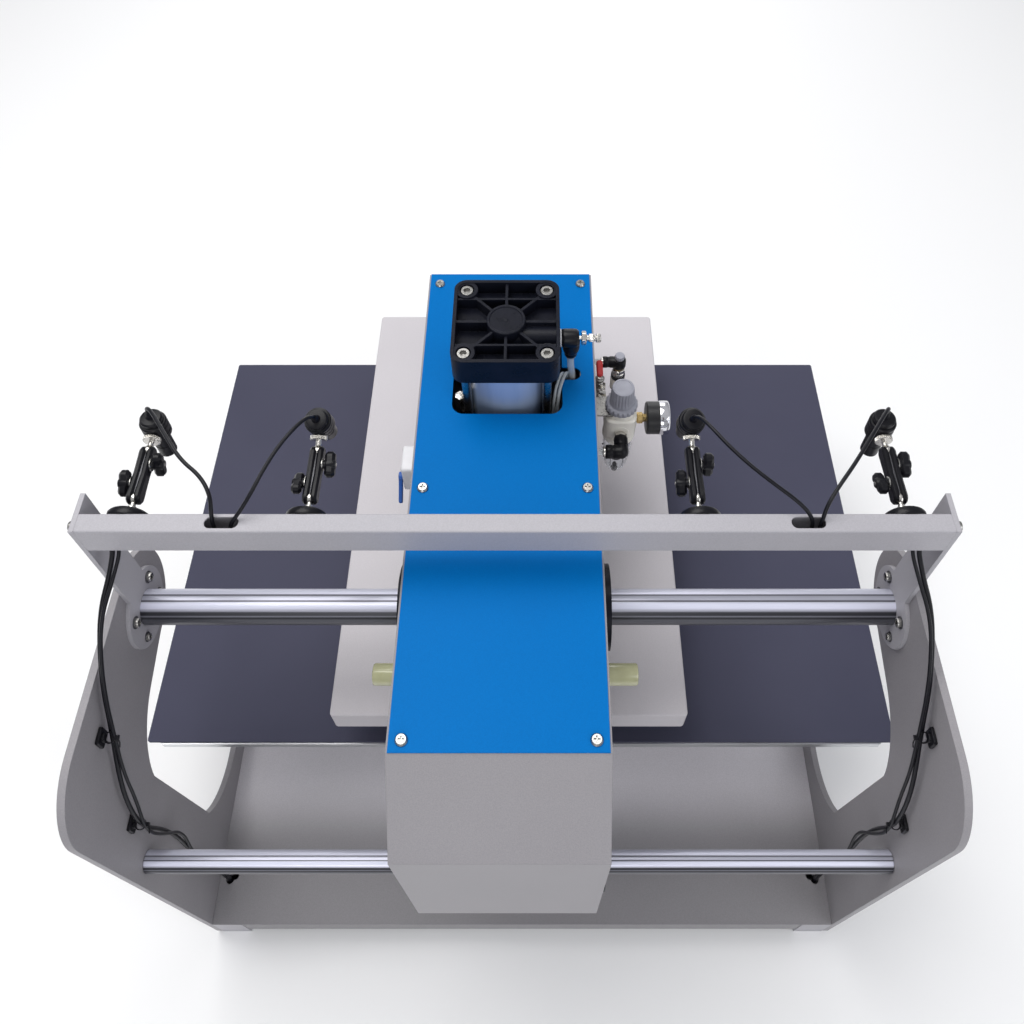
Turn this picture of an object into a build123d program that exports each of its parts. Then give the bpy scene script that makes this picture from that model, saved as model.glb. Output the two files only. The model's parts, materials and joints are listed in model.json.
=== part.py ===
"""Double-station pneumatic heat press with a head that slides sideways on a round rail.

Millimetres. +X is to the right seen from the back, +Y is towards the operator, +Z is up.
The origin is the centre of the base bolt pattern, on the surface that the base stands on.
"""

from build123d import *
from math import cos, radians, sin, tan
import os

os.makedirs("parts", exist_ok=True)

# ---- driving dimensions -------------------------------------------------------------------
SPAN = 850  # between the inner faces of the side plates
PLATE_T = 8  # side plate thickness
RAIL_Y, RAIL_Z, RAIL_D = -150, 548, 40  # main rail: axis and diameter
REAR_Y, REAR_Z, REAR_D = -375, 358, 25  # rear rail: axis and diameter
EAR_R = 66  # side plate ear, round the main rail
BASE_REAR, BASE_FRONT = -400, 320
RUNNER_W, RUNNER_H, RUNNER_T = 40, 60, 3
RUNNER_FRONT = 400
BASE_BOLT_X, BASE_BOLT_Y, BASE_BOLT_D = 405, 340, 11
FLOOR_Z, FLOOR_T = 60, 4
JAW_Z = 105  # top edge of the lower jaw
BRACKET_T, BRACKET_R = 5, 46
BEAM_Y0, BEAM_Y1, BEAM_Z0, BEAM_Z1, BEAM_T = -165, -145, 716, 756, 2
SLOT_X, SLOT_Y, SLOT_L, SLOT_W = 281, -155, 33, 12
CABLE_HOLE_X = 397

PRESS_Y = 84  # centre of the platens and of the cylinder
STATION_X = 280  # centre of each lower platen, and the head's travel each way
MAT_X, MAT_Y, MAT_T, MAT_TOP = 408, 616, 4, 293
LOWER_X, LOWER_Y, LOWER_T = 376, 620, 12
COLUMN = 100  # pedestal column, square

HEAD_X = -13  # where the head stands along the rail at rest; its pieces are drawn about X = 0
HEAD_W, HEAD_T = 204, 4  # head housing: width and wall
HEAD_Y0, HEAD_Y1 = -346, 236
COVER_TOP, COVER_T, COVER_W = 684, 1.5, 200
HEAD_TOP = COVER_TOP - COVER_T
HEAD_BOTTOM = 496
TAIL_Y0, TAIL_Y1, TAIL_Z, SLOPE_Z = -421, -330, 318, 602
MOUNT_T = 10  # thick plate under the cylinder

CAP, CAP_H, CAP_TOP = 118, 37, 774
BORE, BARREL_D = 100, 104
CYL_BASE_H = 35
TIE = 45  # tie rods, each way from the cylinder's axis
ROD_D = 25
OPENING = 126  # square opening in the top cover
TUBE_X, TUBE_Y, NOTCH = 76, 78, 18  # tube, and the notch beside the opening that it goes through

UPPER_X, UPPER_Y, UPPER_H, UPPER_TOP = 428, 626, 40, 413.5
SHEET = 2
HEAT_X, HEAT_Y, HEAT_T, HEAT_Z = 400, 600, 22, 358
RAM_T = 12
GUIDE_D, GUIDE_DY = 20, 100

FIT = 0.05  # radial clearance of a running fit

REG_X, REG_Y = 138, 87  # axis of the filter regulator
GAUGE_Z = 580
LAMP_X = (-380, -205, 181, 382)
LAMP_NAMES = ("lamp_outer_left", "lamp_inner_left", "lamp_inner_right", "lamp_outer_right")
LAMP_LEAN = (0, 22, 22, 0)  # forward lean of each lamp at rest, degrees
ARM_Z = 736  # height of the lamp arms
BALL_Y = -62  # upper ball of each lamp arm

CYL_BOTTOM = HEAD_BOTTOM + HEAD_T + MOUNT_T
CYL_MID = CYL_BOTTOM + CYL_BASE_H
CAP_Z = CAP_TOP - CAP_H
GAUGE_Y = REG_Y


def finish(piece, name, along=0):
    """Labels a finished piece and writes its STEP file, moved along the rail if it is on the head."""
    placed = piece.part.moved(Location((along, 0, 0))) if along else piece.part
    placed.label = name
    export_step(placed, f"parts/{name}.step")


def left_of(x0, x1):
    """Plane facing +X at the lower of two X values, for a piece that may be on either side."""
    return Plane.YZ.offset(min(x0, x1))


def cord_radii(points, diameter, limp=3):
    """Largest tangent arcs that the runs of a route leave room for, one per corner."""
    ends = [Vector(*p) for p in points]
    runs = [b - a for a, b in zip(ends, ends[1:])]
    radii = []
    for a, b in zip(runs, runs[1:]):
        turn = radians(a.get_angle(b))
        radii.append(0.45 * min(a.length, b.length) / tan(turn / 2))
    print("  radii", [round(r, 1) for r in radii], "least allowed", limp * diameter)
    print("  runs", [round(r.length, 1) for r in runs])
    return radii


def cord_solid(points, diameter):
    """Tube of straight runs joined by tangent arcs along a route."""
    with BuildPart() as tube:
        with BuildLine() as path:
            FilletPolyline(*points, radius=cord_radii(points, diameter))
        start = path.wires()[0] @ 0
        heading = path.wires()[0] % 0
        with BuildSketch(Plane(origin=start, z_dir=heading)):
            Circle(diameter / 2)
        sweep()
    length = path.wires()[0].length
    ratio = tube.part.volume / (length * 3.14159265 * diameter**2 / 4)
    print("  length", round(length, 1), "volume over section times length", round(ratio, 4))
    return tube.part


# ---- base and frame -----------------------------------------------------------------------
CABLE_HOLES = [(-411, -345), (411, -345)]  # where the side cables go down through the floor
CABLE_HOLE_D = 11
with BuildPart() as base_runners:
    for side in (-1, 1):
        x = side * (SPAN / 2 - RUNNER_W / 2)
        length = RUNNER_FRONT - BASE_REAR
        with BuildSketch(Plane.XZ.offset(-RUNNER_FRONT)):
            with Locations((x, RUNNER_H / 2)):
                Rectangle(RUNNER_W, RUNNER_H)
        extrude(amount=length)
        # the tube's hollow, closed by end plates
        with BuildSketch(Plane.XZ.offset(-RUNNER_FRONT + RUNNER_T)):
            with Locations((x, RUNNER_H / 2)):
                Rectangle(RUNNER_W - 2 * RUNNER_T, RUNNER_H - 2 * RUNNER_T)
        extrude(amount=length - 2 * RUNNER_T, mode=Mode.SUBTRACT)
    with BuildSketch(Plane.XY):
        with GridLocations(2 * BASE_BOLT_X, 2 * BASE_BOLT_Y, 2, 2):
            Circle(BASE_BOLT_D / 2)
    extrude(amount=RUNNER_H, mode=Mode.SUBTRACT)
    with BuildSketch(Plane.XY.offset(RUNNER_H - RUNNER_T - 1)):
        with Locations(*CABLE_HOLES):
            Circle(CABLE_HOLE_D / 2)
    extrude(amount=RUNNER_T + 2, mode=Mode.SUBTRACT)
finish(base_runners, "base_runners")

with BuildPart() as floor_panel:
    with BuildSketch(Plane.XY.offset(FLOOR_Z)):
        with Locations((0, (BASE_REAR + BASE_FRONT) / 2)):
            Rectangle(SPAN, BASE_FRONT - BASE_REAR)
        with Locations(*CABLE_HOLES):
            Circle(CABLE_HOLE_D / 2, mode=Mode.SUBTRACT)
        with GridLocations(2 * BASE_BOLT_X, 2 * BASE_BOLT_Y, 2, 2):
            Circle(BASE_BOLT_D / 2, mode=Mode.SUBTRACT)
    extrude(amount=FLOOR_T)
    lip = SPAN - 2 * RUNNER_W - 4
    with BuildSketch(Plane.XY.offset(FLOOR_Z)):
        with Locations((0, BASE_REAR + 1.5), (0, BASE_FRONT - 1.5)):
            Rectangle(lip, 3)
    extrude(amount=-36)
finish(floor_panel, "floor_panel")

BRACKET_BOLTS = [(RAIL_Y + a, RAIL_Z + b) for a in (-27, 27) for b in (-20, 20)]
FOOT_BOLTS = [(y, 30) for y in (-340, -40, 260)]
BEAM_BOLTS = [((BEAM_Y0 + BEAM_Y1) / 2, BEAM_Z0 + 8), ((BEAM_Y0 + BEAM_Y1) / 2, BEAM_Z1 - 8)]

for side, name in ((-1, "side_plate_left"), (1, "side_plate_right")):
    with BuildPart() as side_plate:
        with BuildSketch(left_of(side * SPAN / 2, side * (SPAN / 2 + PLATE_T))) as outline:
            with BuildLine():
                top = RAIL_Z + EAR_R
                Polyline((BASE_FRONT, JAW_Z), (BASE_FRONT, 6), (BASE_REAR, 6), (BASE_REAR, top))
                Line((BASE_REAR, top), (RAIL_Y, top))
                ThreePointArc((RAIL_Y, top), (RAIL_Y + EAR_R, RAIL_Z), (RAIL_Y, RAIL_Z - EAR_R))
                Line((RAIL_Y, RAIL_Z - EAR_R), (-215, 470))
                ThreePointArc((-215, 470), (-266, 442), (-292, 396))
                Line((-292, 396), (-282, 170))
                ThreePointArc((-282, 170), (-247, 127), (-180, JAW_Z))
                Line((-180, JAW_Z), (BASE_FRONT, JAW_Z))
            make_face()
            fillet(outline.vertices().sort_by_distance((BASE_REAR, top))[0], 70)
            fillet(outline.vertices().sort_by_distance((BASE_FRONT, JAW_Z))[0], 45)
            with Locations(*BRACKET_BOLTS, *FOOT_BOLTS):
                Circle(4.3, mode=Mode.SUBTRACT)
            with Locations((-172, 515), (-330, 238)):
                Circle(3.2, mode=Mode.SUBTRACT)
            with Locations((RAIL_Y, RAIL_Z), (REAR_Y, REAR_Z)):
                Circle(5.3, mode=Mode.SUBTRACT)
        extrude(amount=PLATE_T)
    finish(side_plate, name)

for name, y, z, d in (
    ("main_rail", RAIL_Y, RAIL_Z, RAIL_D),
    ("rear_rail", REAR_Y, REAR_Z, REAR_D),
):
    with BuildPart() as rail:
        with BuildSketch(Plane.YZ.offset(-SPAN / 2)):
            with Locations((y, z)):
                Circle(d / 2)
        extrude(amount=SPAN)
        chamfer(rail.edges().filter_by(GeomType.CIRCLE), 1)
        with BuildSketch(Plane.YZ.offset(-SPAN / 2), Plane.YZ.offset(SPAN / 2 - 30)):
            with Locations((y, z)):
                Circle(5.1)
        extrude(amount=30, mode=Mode.SUBTRACT)
    finish(rail, name)

with BuildPart() as beam_brackets:
    for side in (-1, 1):
        with BuildSketch(left_of(side * SPAN / 2, side * (SPAN / 2 - BRACKET_T))):
            with Locations((RAIL_Y, RAIL_Z)):
                Circle(BRACKET_R)
            with Locations(((BEAM_Y0 - 123) / 2, (RAIL_Z + BEAM_Z1) / 2)):
                Rectangle(-123 - BEAM_Y0, BEAM_Z1 - RAIL_Z)
            with Locations((RAIL_Y, RAIL_Z)):
                Circle(RAIL_D / 2 + FIT, mode=Mode.SUBTRACT)
            with Locations(*BRACKET_BOLTS):
                Circle(4.3, mode=Mode.SUBTRACT)
            with Locations(*BEAM_BOLTS):
                Circle(3.2, mode=Mode.SUBTRACT)
        extrude(amount=BRACKET_T)
finish(beam_brackets, "beam_brackets")

BEAM_L = SPAN - 2 * BRACKET_T
with BuildPart() as lamp_beam:
    beam_y, beam_z = (BEAM_Y0 + BEAM_Y1) / 2, (BEAM_Z0 + BEAM_Z1) / 2
    with BuildSketch(Plane.YZ.offset(-BEAM_L / 2)):
        with Locations((beam_y, beam_z)):
            RectangleRounded(BEAM_Y1 - BEAM_Y0, BEAM_Z1 - BEAM_Z0, 2)
    extrude(amount=BEAM_L)
    with BuildSketch(Plane.YZ.offset(-BEAM_L / 2 + 3)):
        with Locations((beam_y, beam_z)):
            Rectangle(BEAM_Y1 - BEAM_Y0 - 2 * BEAM_T, BEAM_Z1 - BEAM_Z0 - 2 * BEAM_T)
    extrude(amount=BEAM_L - 6, mode=Mode.SUBTRACT)
    with BuildSketch(Plane.XY.offset(BEAM_Z1 - 5)):
        with Locations((-SLOT_X, SLOT_Y), (SLOT_X, SLOT_Y)):
            SlotOverall(SLOT_L, SLOT_W)
    extrude(amount=8, mode=Mode.SUBTRACT)
    with BuildSketch(Plane.XY.offset(BEAM_Z0 - 3)):
        with Locations((-CABLE_HOLE_X, SLOT_Y), (CABLE_HOLE_X, SLOT_Y)):
            SlotOverall(24, 12)
    extrude(amount=6, mode=Mode.SUBTRACT)
    with BuildSketch(Plane.YZ.offset(-BEAM_L / 2 - 1)):
        with Locations(*BEAM_BOLTS):
            Circle(3.1)
    extrude(amount=BEAM_L + 2, mode=Mode.SUBTRACT)
finish(lamp_beam, "lamp_beam")

with BuildPart() as frame_bolts:
    for side in (-1, 1):
        inner, outer = side * (SPAN / 2 - BRACKET_T), side * (SPAN / 2 + PLATE_T)
        # bracket bolts, head inside and nut outside
        with BuildSketch(left_of(inner, inner - side * 7)):
            with Locations(*BRACKET_BOLTS):
                Circle(6.5)
        extrude(amount=7)
        with BuildSketch(left_of(inner - side * 7, inner - side * 3)):
            with Locations(*BRACKET_BOLTS):
                RegularPolygon(3.4, 6)
        extrude(amount=4, mode=Mode.SUBTRACT)
        with BuildSketch(left_of(inner, outer)):
            with Locations(*BRACKET_BOLTS):
                Circle(4)
        extrude(amount=BRACKET_T + PLATE_T)
        with BuildSketch(left_of(outer, outer + side * 6)):
            with Locations(*BRACKET_BOLTS):
                RegularPolygon(7.2, 6)
        extrude(amount=6)
        # rail end bolts
        with BuildSketch(left_of(outer, outer + side * 8)):
            with Locations((RAIL_Y, RAIL_Z), (REAR_Y, REAR_Z)):
                RegularPolygon(9.5, 6)
        extrude(amount=8)
        with BuildSketch(left_of(outer, outer - side * 30)):
            with Locations((RAIL_Y, RAIL_Z), (REAR_Y, REAR_Z)):
                Circle(5)
        extrude(amount=30)
        # bolts into the base runners
        with BuildSketch(left_of(outer, outer + side * 7)):
            with Locations(*FOOT_BOLTS):
                RegularPolygon(7.2, 6)
        extrude(amount=7)
        with BuildSketch(left_of(outer, SPAN / 2 * side)):
            with Locations(*FOOT_BOLTS):
                Circle(4)
        extrude(amount=PLATE_T)
        # beam end bolts
        face = side * SPAN / 2
        with BuildSketch(left_of(face, face + side * 4)):
            with Locations(*BEAM_BOLTS):
                Circle(5.5)
        extrude(amount=4)
        with BuildSketch(left_of(face, face - side * 8)):
            with Locations(*BEAM_BOLTS):
                Circle(3)
        extrude(amount=8)
finish(frame_bolts, "frame_bolts")

# ---- lower platens ------------------------------------------------------------------------
LOWER_TOP = MAT_TOP - MAT_T
LOWER_BOTTOM = LOWER_TOP - LOWER_T
FLANGE_T = 8
STATIONS = [(-STATION_X, PRESS_Y), (STATION_X, PRESS_Y)]
COLUMN_Z0, COLUMN_Z1 = FLOOR_Z + FLOOR_T + FLANGE_T, LOWER_BOTTOM - FLANGE_T
with BuildPart() as lower_mats:
    with BuildSketch(Plane.XY.offset(LOWER_TOP)):
        with Locations(*STATIONS):
            RectangleRounded(MAT_X, MAT_Y, 3)
    extrude(amount=MAT_T)
finish(lower_mats, "lower_mats")

with BuildPart() as lower_platens:
    with BuildSketch(Plane.XY.offset(LOWER_BOTTOM)):
        with Locations(*STATIONS):
            RectangleRounded(LOWER_X, LOWER_Y, 3)
    extrude(amount=LOWER_T)
finish(lower_platens, "lower_platens")

with BuildPart() as pedestals:
    with BuildSketch(Plane.XY.offset(FLOOR_Z + FLOOR_T)):
        with Locations(*STATIONS):
            RectangleRounded(200, 240, 10)
            with GridLocations(160, 200, 2, 2):
                Circle(5.5, mode=Mode.SUBTRACT)
    extrude(amount=FLANGE_T)
    with BuildSketch(Plane.XY.offset(COLUMN_Z1)):
        with Locations(*STATIONS):
            RectangleRounded(240, 400, 10)
    extrude(amount=FLANGE_T)
    with BuildSketch(Plane.XY.offset(COLUMN_Z0)):
        with Locations(*STATIONS):
            RectangleRounded(COLUMN, COLUMN, 8)
    extrude(amount=COLUMN_Z1 - COLUMN_Z0)
    # gussets under the top flanges
    for way in (-1, 1):
        foot, tip = PRESS_Y + way * COLUMN / 2, PRESS_Y + way * 180
        with BuildSketch(Plane.YZ.offset(-STATION_X - 4), Plane.YZ.offset(STATION_X - 4)):
            with BuildLine():
                top = COLUMN_Z1
                Polyline((foot, top), (tip, top), (foot, top - 90), close=True)
            make_face()
        extrude(amount=8)
finish(pedestals, "pedestals")

# ---- sliding head -------------------------------------------------------------------------
HEAD_OUTLINE = [
    (HEAD_Y0, HEAD_TOP),
    (HEAD_Y1, HEAD_TOP),
    (HEAD_Y1, HEAD_BOTTOM),
    (-296, HEAD_BOTTOM),
    (TAIL_Y1, 462),
    (TAIL_Y1, TAIL_Z),
    (TAIL_Y0, TAIL_Z),
    (TAIL_Y0, SLOPE_Z),
]
COVER_SCREWS = [(x, y) for x in (-88, 88) for y in (-335, -75, 219)]
MAIN_BODY_D, MAIN_FLANGE_D = 60, 96
MAIN_FLANGE_T = {-1: 16, 1: 13}
SCREW_SINK = 5
REAR_BODY_D, REAR_FLANGE_D, REAR_FLANGE_T = 40, 62, 8
BUMPER_Y, BUMPER_D, BUMPER_L = -227, 24, 41
GUIDES = [(0, PRESS_Y - GUIDE_DY), (0, PRESS_Y + GUIDE_DY)]
GUIDE_BODY_D = 28

with BuildPart() as housing:
    with BuildSketch(Plane.YZ.offset(-HEAD_W / 2)):
        with BuildLine():
            Polyline(*HEAD_OUTLINE, close=True)
        make_face()
    extrude(amount=HEAD_W)
    with BuildSketch(Plane.YZ.offset(-HEAD_W / 2 + HEAD_T)):
        with BuildLine():
            Polyline(*HEAD_OUTLINE, close=True)
        make_face()
        offset(amount=-HEAD_T, kind=Kind.INTERSECTION)
    extrude(amount=HEAD_W - 2 * HEAD_T, mode=Mode.SUBTRACT)
    # opening under the top cover, leaving a lip for its screws
    with BuildSketch(Plane.XY.offset(HEAD_TOP - 10)):
        with Locations((0, (HEAD_Y0 + HEAD_Y1) / 2)):
            Rectangle(HEAD_W - 36, HEAD_Y1 - HEAD_Y0 - 44)
    extrude(amount=20, mode=Mode.SUBTRACT)
    # thick plate under the cylinder
    with BuildSketch(Plane.XY.offset(HEAD_BOTTOM + HEAD_T)):
        with Locations((0, PRESS_Y)):
            Rectangle(HEAD_W - 2 * HEAD_T, 150)
    extrude(amount=MOUNT_T)
    with BuildSketch(Plane.XY.offset(HEAD_BOTTOM - 1)):
        with Locations((0, PRESS_Y)):
            Circle(ROD_D / 2 + 1)
        with Locations(*GUIDES):
            Circle(GUIDE_BODY_D / 2 + FIT)
    extrude(amount=HEAD_T + MOUNT_T + 2, mode=Mode.SUBTRACT)
    with BuildSketch(Plane.YZ.offset(-HEAD_W / 2 - 1)):
        with Locations((RAIL_Y, RAIL_Z)):
            Circle(MAIN_BODY_D / 2 + FIT)
        with Locations((REAR_Y, REAR_Z)):
            Circle(REAR_BODY_D / 2 + FIT)
    extrude(amount=HEAD_W + 2, mode=Mode.SUBTRACT)
    with BuildSketch(Plane.XY.offset(HEAD_TOP - 10)):
        with Locations(*COVER_SCREWS):
            Circle(2.6)
    extrude(amount=12, mode=Mode.SUBTRACT)
finish(housing, "head_housing", HEAD_X)

with BuildPart() as top_cover:
    with BuildSketch(Plane.XY.offset(HEAD_TOP)):
        with Locations((0, (HEAD_Y0 + HEAD_Y1) / 2)):
            Rectangle(COVER_W, HEAD_Y1 - HEAD_Y0)
        with Locations((0, PRESS_Y)):
            RectangleRounded(OPENING, OPENING, 14, mode=Mode.SUBTRACT)
        with Locations((TUBE_X, TUBE_Y)):
            Circle(NOTCH / 2, mode=Mode.SUBTRACT)
        with Locations(((OPENING / 2 + TUBE_X) / 2 - 1, TUBE_Y)):
            Rectangle(TUBE_X - OPENING / 2 + 2, NOTCH, mode=Mode.SUBTRACT)
        with Locations(*COVER_SCREWS):
            Circle(2.6, mode=Mode.SUBTRACT)
    extrude(amount=COVER_T)
finish(top_cover, "top_cover", HEAD_X)

with BuildPart() as head_screws:
    # pan-head screws of the top cover
    with BuildSketch(Plane.XY.offset(COVER_TOP)):
        with Locations(*COVER_SCREWS):
            Circle(6)
    extrude(amount=1.2)
    with BuildSketch(Plane.XY.offset(COVER_TOP + 1.2)):
        with Locations(*COVER_SCREWS):
            Circle(6)
    extrude(amount=2, taper=35)
    with BuildSketch(Plane.XY.offset(COVER_TOP + 1.4)):
        with Locations(*COVER_SCREWS):
            Rectangle(6, 1.3)
            Rectangle(1.3, 6)
    extrude(amount=4, mode=Mode.SUBTRACT)
    with BuildSketch(Plane.XY.offset(COVER_TOP)):
        with Locations(*COVER_SCREWS):
            Circle(2.5)
    extrude(amount=-12)
    # socket screws of the bearing flanges
    for side in (-1, 1):
        face = side * (HEAD_W / 2 + MAIN_FLANGE_T[side] - SCREW_SINK)
        with BuildSketch(left_of(face, face + side * 4.6)):
            with Locations((RAIL_Y, RAIL_Z)):
                with PolarLocations(39, 4, start_angle=45):
                    Circle(5)
        extrude(amount=4.6)
finish(head_screws, "head_screws", HEAD_X)

with BuildPart() as main_bearings:
    for side in (-1, 1):
        wall = side * HEAD_W / 2
        outer = wall + side * MAIN_FLANGE_T[side]
        with BuildSketch(left_of(wall, outer)):
            with Locations((RAIL_Y, RAIL_Z)):
                Circle(MAIN_FLANGE_D / 2)
        extrude(amount=MAIN_FLANGE_T[side])
        # counterbores for the heads of the flange screws
        with BuildSketch(left_of(outer, outer - side * SCREW_SINK)):
            with Locations((RAIL_Y, RAIL_Z)):
                with PolarLocations(39, 4, start_angle=45):
                    Circle(5.5)
        extrude(amount=SCREW_SINK, mode=Mode.SUBTRACT)
        with BuildSketch(left_of(wall, wall - side * 67)):
            with Locations((RAIL_Y, RAIL_Z)):
                Circle(MAIN_BODY_D / 2)
        extrude(amount=67)
    with BuildSketch(Plane.YZ.offset(-SPAN / 2)):
        with Locations((RAIL_Y, RAIL_Z)):
            Circle(RAIL_D / 2 + FIT)
    extrude(amount=SPAN, mode=Mode.SUBTRACT)
finish(main_bearings, "main_bearings", HEAD_X)

with BuildPart() as rear_bushes:
    for side in (-1, 1):
        wall = side * HEAD_W / 2
        with BuildSketch(left_of(wall, wall + side * REAR_FLANGE_T)):
            with Locations((REAR_Y, REAR_Z)):
                Circle(REAR_FLANGE_D / 2)
        extrude(amount=REAR_FLANGE_T)
        with BuildSketch(left_of(wall, wall - side * 50)):
            with Locations((REAR_Y, REAR_Z)):
                Circle(REAR_BODY_D / 2)
        extrude(amount=50)
    with BuildSketch(Plane.YZ.offset(-SPAN / 2)):
        with Locations((REAR_Y, REAR_Z)):
            Circle(REAR_D / 2 + FIT)
    extrude(amount=SPAN, mode=Mode.SUBTRACT)
finish(rear_bushes, "rear_bushes", HEAD_X)

with BuildPart() as bumpers:
    for side in (-1, 1):
        wall = side * HEAD_W / 2
        with BuildSketch(left_of(wall, wall + side * BUMPER_L)):
            with Locations((BUMPER_Y, RAIL_Z)):
                Circle(BUMPER_D / 2)
        extrude(amount=BUMPER_L)
finish(bumpers, "bumpers", HEAD_X)

with BuildPart() as guide_bushes:
    with BuildSketch(Plane.XY.offset(HEAD_BOTTOM - 8)):
        with Locations(*GUIDES):
            Circle(21)
    extrude(amount=8)
    with BuildSketch(Plane.XY.offset(HEAD_BOTTOM)):
        with Locations(*GUIDES):
            Circle(GUIDE_BODY_D / 2)
    extrude(amount=36)
    with BuildSketch(Plane.XY.offset(HEAD_BOTTOM - 9)):
        with Locations(*GUIDES):
            Circle(GUIDE_D / 2 + FIT)
    extrude(amount=50, mode=Mode.SUBTRACT)
finish(guide_bushes, "guide_bushes", HEAD_X)

# ---- air cylinder -------------------------------------------------------------------------
TIE_SPOTS = [(x, PRESS_Y + y) for x in (-TIE, TIE) for y in (-TIE, TIE)]
PORT_Y, PORT_Z = PRESS_Y - 8, CAP_TOP - 22
SEAT_D = 8  # tie rod heads sit in their bosses
POCKET_D = 18

with BuildPart() as cylinder_base:
    with BuildSketch(Plane.XY.offset(CYL_BOTTOM)):
        with Locations((0, PRESS_Y)):
            RectangleRounded(CAP, CAP, 14)
            Circle(ROD_D / 2 + FIT, mode=Mode.SUBTRACT)
        with Locations(*TIE_SPOTS):
            Circle(5.2, mode=Mode.SUBTRACT)
    extrude(amount=CYL_BASE_H)
finish(cylinder_base, "cylinder_base", HEAD_X)

with BuildPart() as barrel:
    with BuildSketch(Plane.XY.offset(CYL_MID)):
        with Locations((0, PRESS_Y)):
            Circle(BARREL_D / 2)
            Circle(BORE / 2, mode=Mode.SUBTRACT)
    extrude(amount=CAP_Z - CYL_MID)
finish(barrel, "cylinder_barrel", HEAD_X)

with BuildPart() as cap:
    with BuildSketch(Plane.XY.offset(CAP_Z)):
        with Locations((0, PRESS_Y)):
            RectangleRounded(CAP, CAP, 14)
    extrude(amount=CAP_H)
    with BuildSketch(Plane.XY.offset(CAP_TOP - POCKET_D)):
        with Locations((0, PRESS_Y)):
            RectangleRounded(CAP - 8, CAP - 8, 10)
    extrude(amount=POCKET_D, mode=Mode.SUBTRACT)
    # cross and diagonal ribs
    with BuildSketch(Plane.XY.offset(CAP_TOP - POCKET_D)):
        with Locations((0, PRESS_Y)):
            Rectangle(CAP - 6, 3.2)
            Rectangle(3.2, CAP - 6)
            for angle in (45, -45):
                Rectangle(CAP + 8, 3.2, rotation=angle)
        with Locations((0, PRESS_Y - 33), (0, PRESS_Y + 33)):
            Rectangle(CAP - 6, 2.6)
        with Locations((0, PRESS_Y)):
            RectangleRounded(CAP - 2, CAP - 2, 12, mode=Mode.INTERSECT)
    extrude(amount=POCKET_D - 3)
    with BuildSketch(Plane.XY.offset(CAP_TOP - POCKET_D)):
        with Locations((0, PRESS_Y)):
            Circle(21.5)
    extrude(amount=POCKET_D)
    with BuildSketch(Plane.XY.offset(CAP_TOP - POCKET_D)):
        with Locations(*TIE_SPOTS):
            Circle(12.5)
    extrude(amount=POCKET_D - 1)
    # air port boss towards +X
    with BuildSketch(Plane.YZ.offset(0)):
        with Locations((PORT_Y, PORT_Z)):
            Circle(14.5)
    extrude(amount=CAP / 2 - 1)
    with BuildSketch(Plane.YZ.offset(CAP / 2 - 12)):
        with Locations((PORT_Y, PORT_Z)):
            Circle(6.6)
    extrude(amount=14, mode=Mode.SUBTRACT)
    with BuildSketch(Plane.XY.offset(CAP_Z - 1)):
        with Locations(*TIE_SPOTS):
            Circle(5.2)
    extrude(amount=CAP_H + 2, mode=Mode.SUBTRACT)
    with BuildSketch(Plane.XY.offset(CAP_TOP - SEAT_D)):
        with Locations(*TIE_SPOTS):
            Circle(8.2)
    extrude(amount=SEAT_D + 1, mode=Mode.SUBTRACT)
finish(cap, "cylinder_cap", HEAD_X)

with BuildPart() as tie_rods:
    with BuildSketch(Plane.XY.offset(CYL_BOTTOM)):
        with Locations(*TIE_SPOTS):
            Circle(5)
    extrude(amount=CAP_TOP - SEAT_D - CYL_BOTTOM)
    with BuildSketch(Plane.XY.offset(CAP_TOP - SEAT_D)):
        with Locations(*TIE_SPOTS):
            Circle(7.4)
    extrude(amount=6)
    chamfer(tie_rods.edges().group_by(Axis.Z)[-1], 0.8)
    with BuildSketch(Plane.XY.offset(CAP_TOP - SEAT_D + 2)):
        with Locations(*TIE_SPOTS):
            RegularPolygon(4.2, 6)
    extrude(amount=6, mode=Mode.SUBTRACT)
finish(tie_rods, "tie_rods", HEAD_X)

FLOW_X0 = CAP / 2
FLOW_END = FLOW_X0 + 24
LEG_X = FLOW_X0 + 13
LEG_H = 30
with BuildPart() as flow_control:
    with BuildSketch(Plane.YZ.offset(FLOW_X0 - 10)):
        with Locations((PORT_Y, PORT_Z)):
            Circle(6.5)
    extrude(amount=12)
    with BuildSketch(Plane.YZ.offset(FLOW_X0)):
        with Locations((PORT_Y, PORT_Z)):
            RegularPolygon(10, 6)
    extrude(amount=3)
    with BuildSketch(Plane.YZ.offset(FLOW_X0 + 3)):
        with Locations((PORT_Y, PORT_Z)):
            Circle(10)
    extrude(amount=FLOW_END - FLOW_X0 - 3)
    with BuildSketch(Plane.XY.offset(PORT_Z - LEG_H)):
        with Locations((LEG_X, PORT_Y)):
            Circle(7.5)
    extrude(amount=LEG_H)
    with BuildSketch(Plane.XY.offset(PORT_Z - LEG_H)):
        with Locations((LEG_X, PORT_Y)):
            Circle(4)
    extrude(amount=10, mode=Mode.SUBTRACT)
    with BuildSketch(Plane.YZ.offset(FLOW_END - 10)):
        with Locations((PORT_Y, PORT_Z)):
            Circle(2.5 + FIT)
    extrude(amount=12, mode=Mode.SUBTRACT)
finish(flow_control, "flow_control", HEAD_X)

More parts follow.
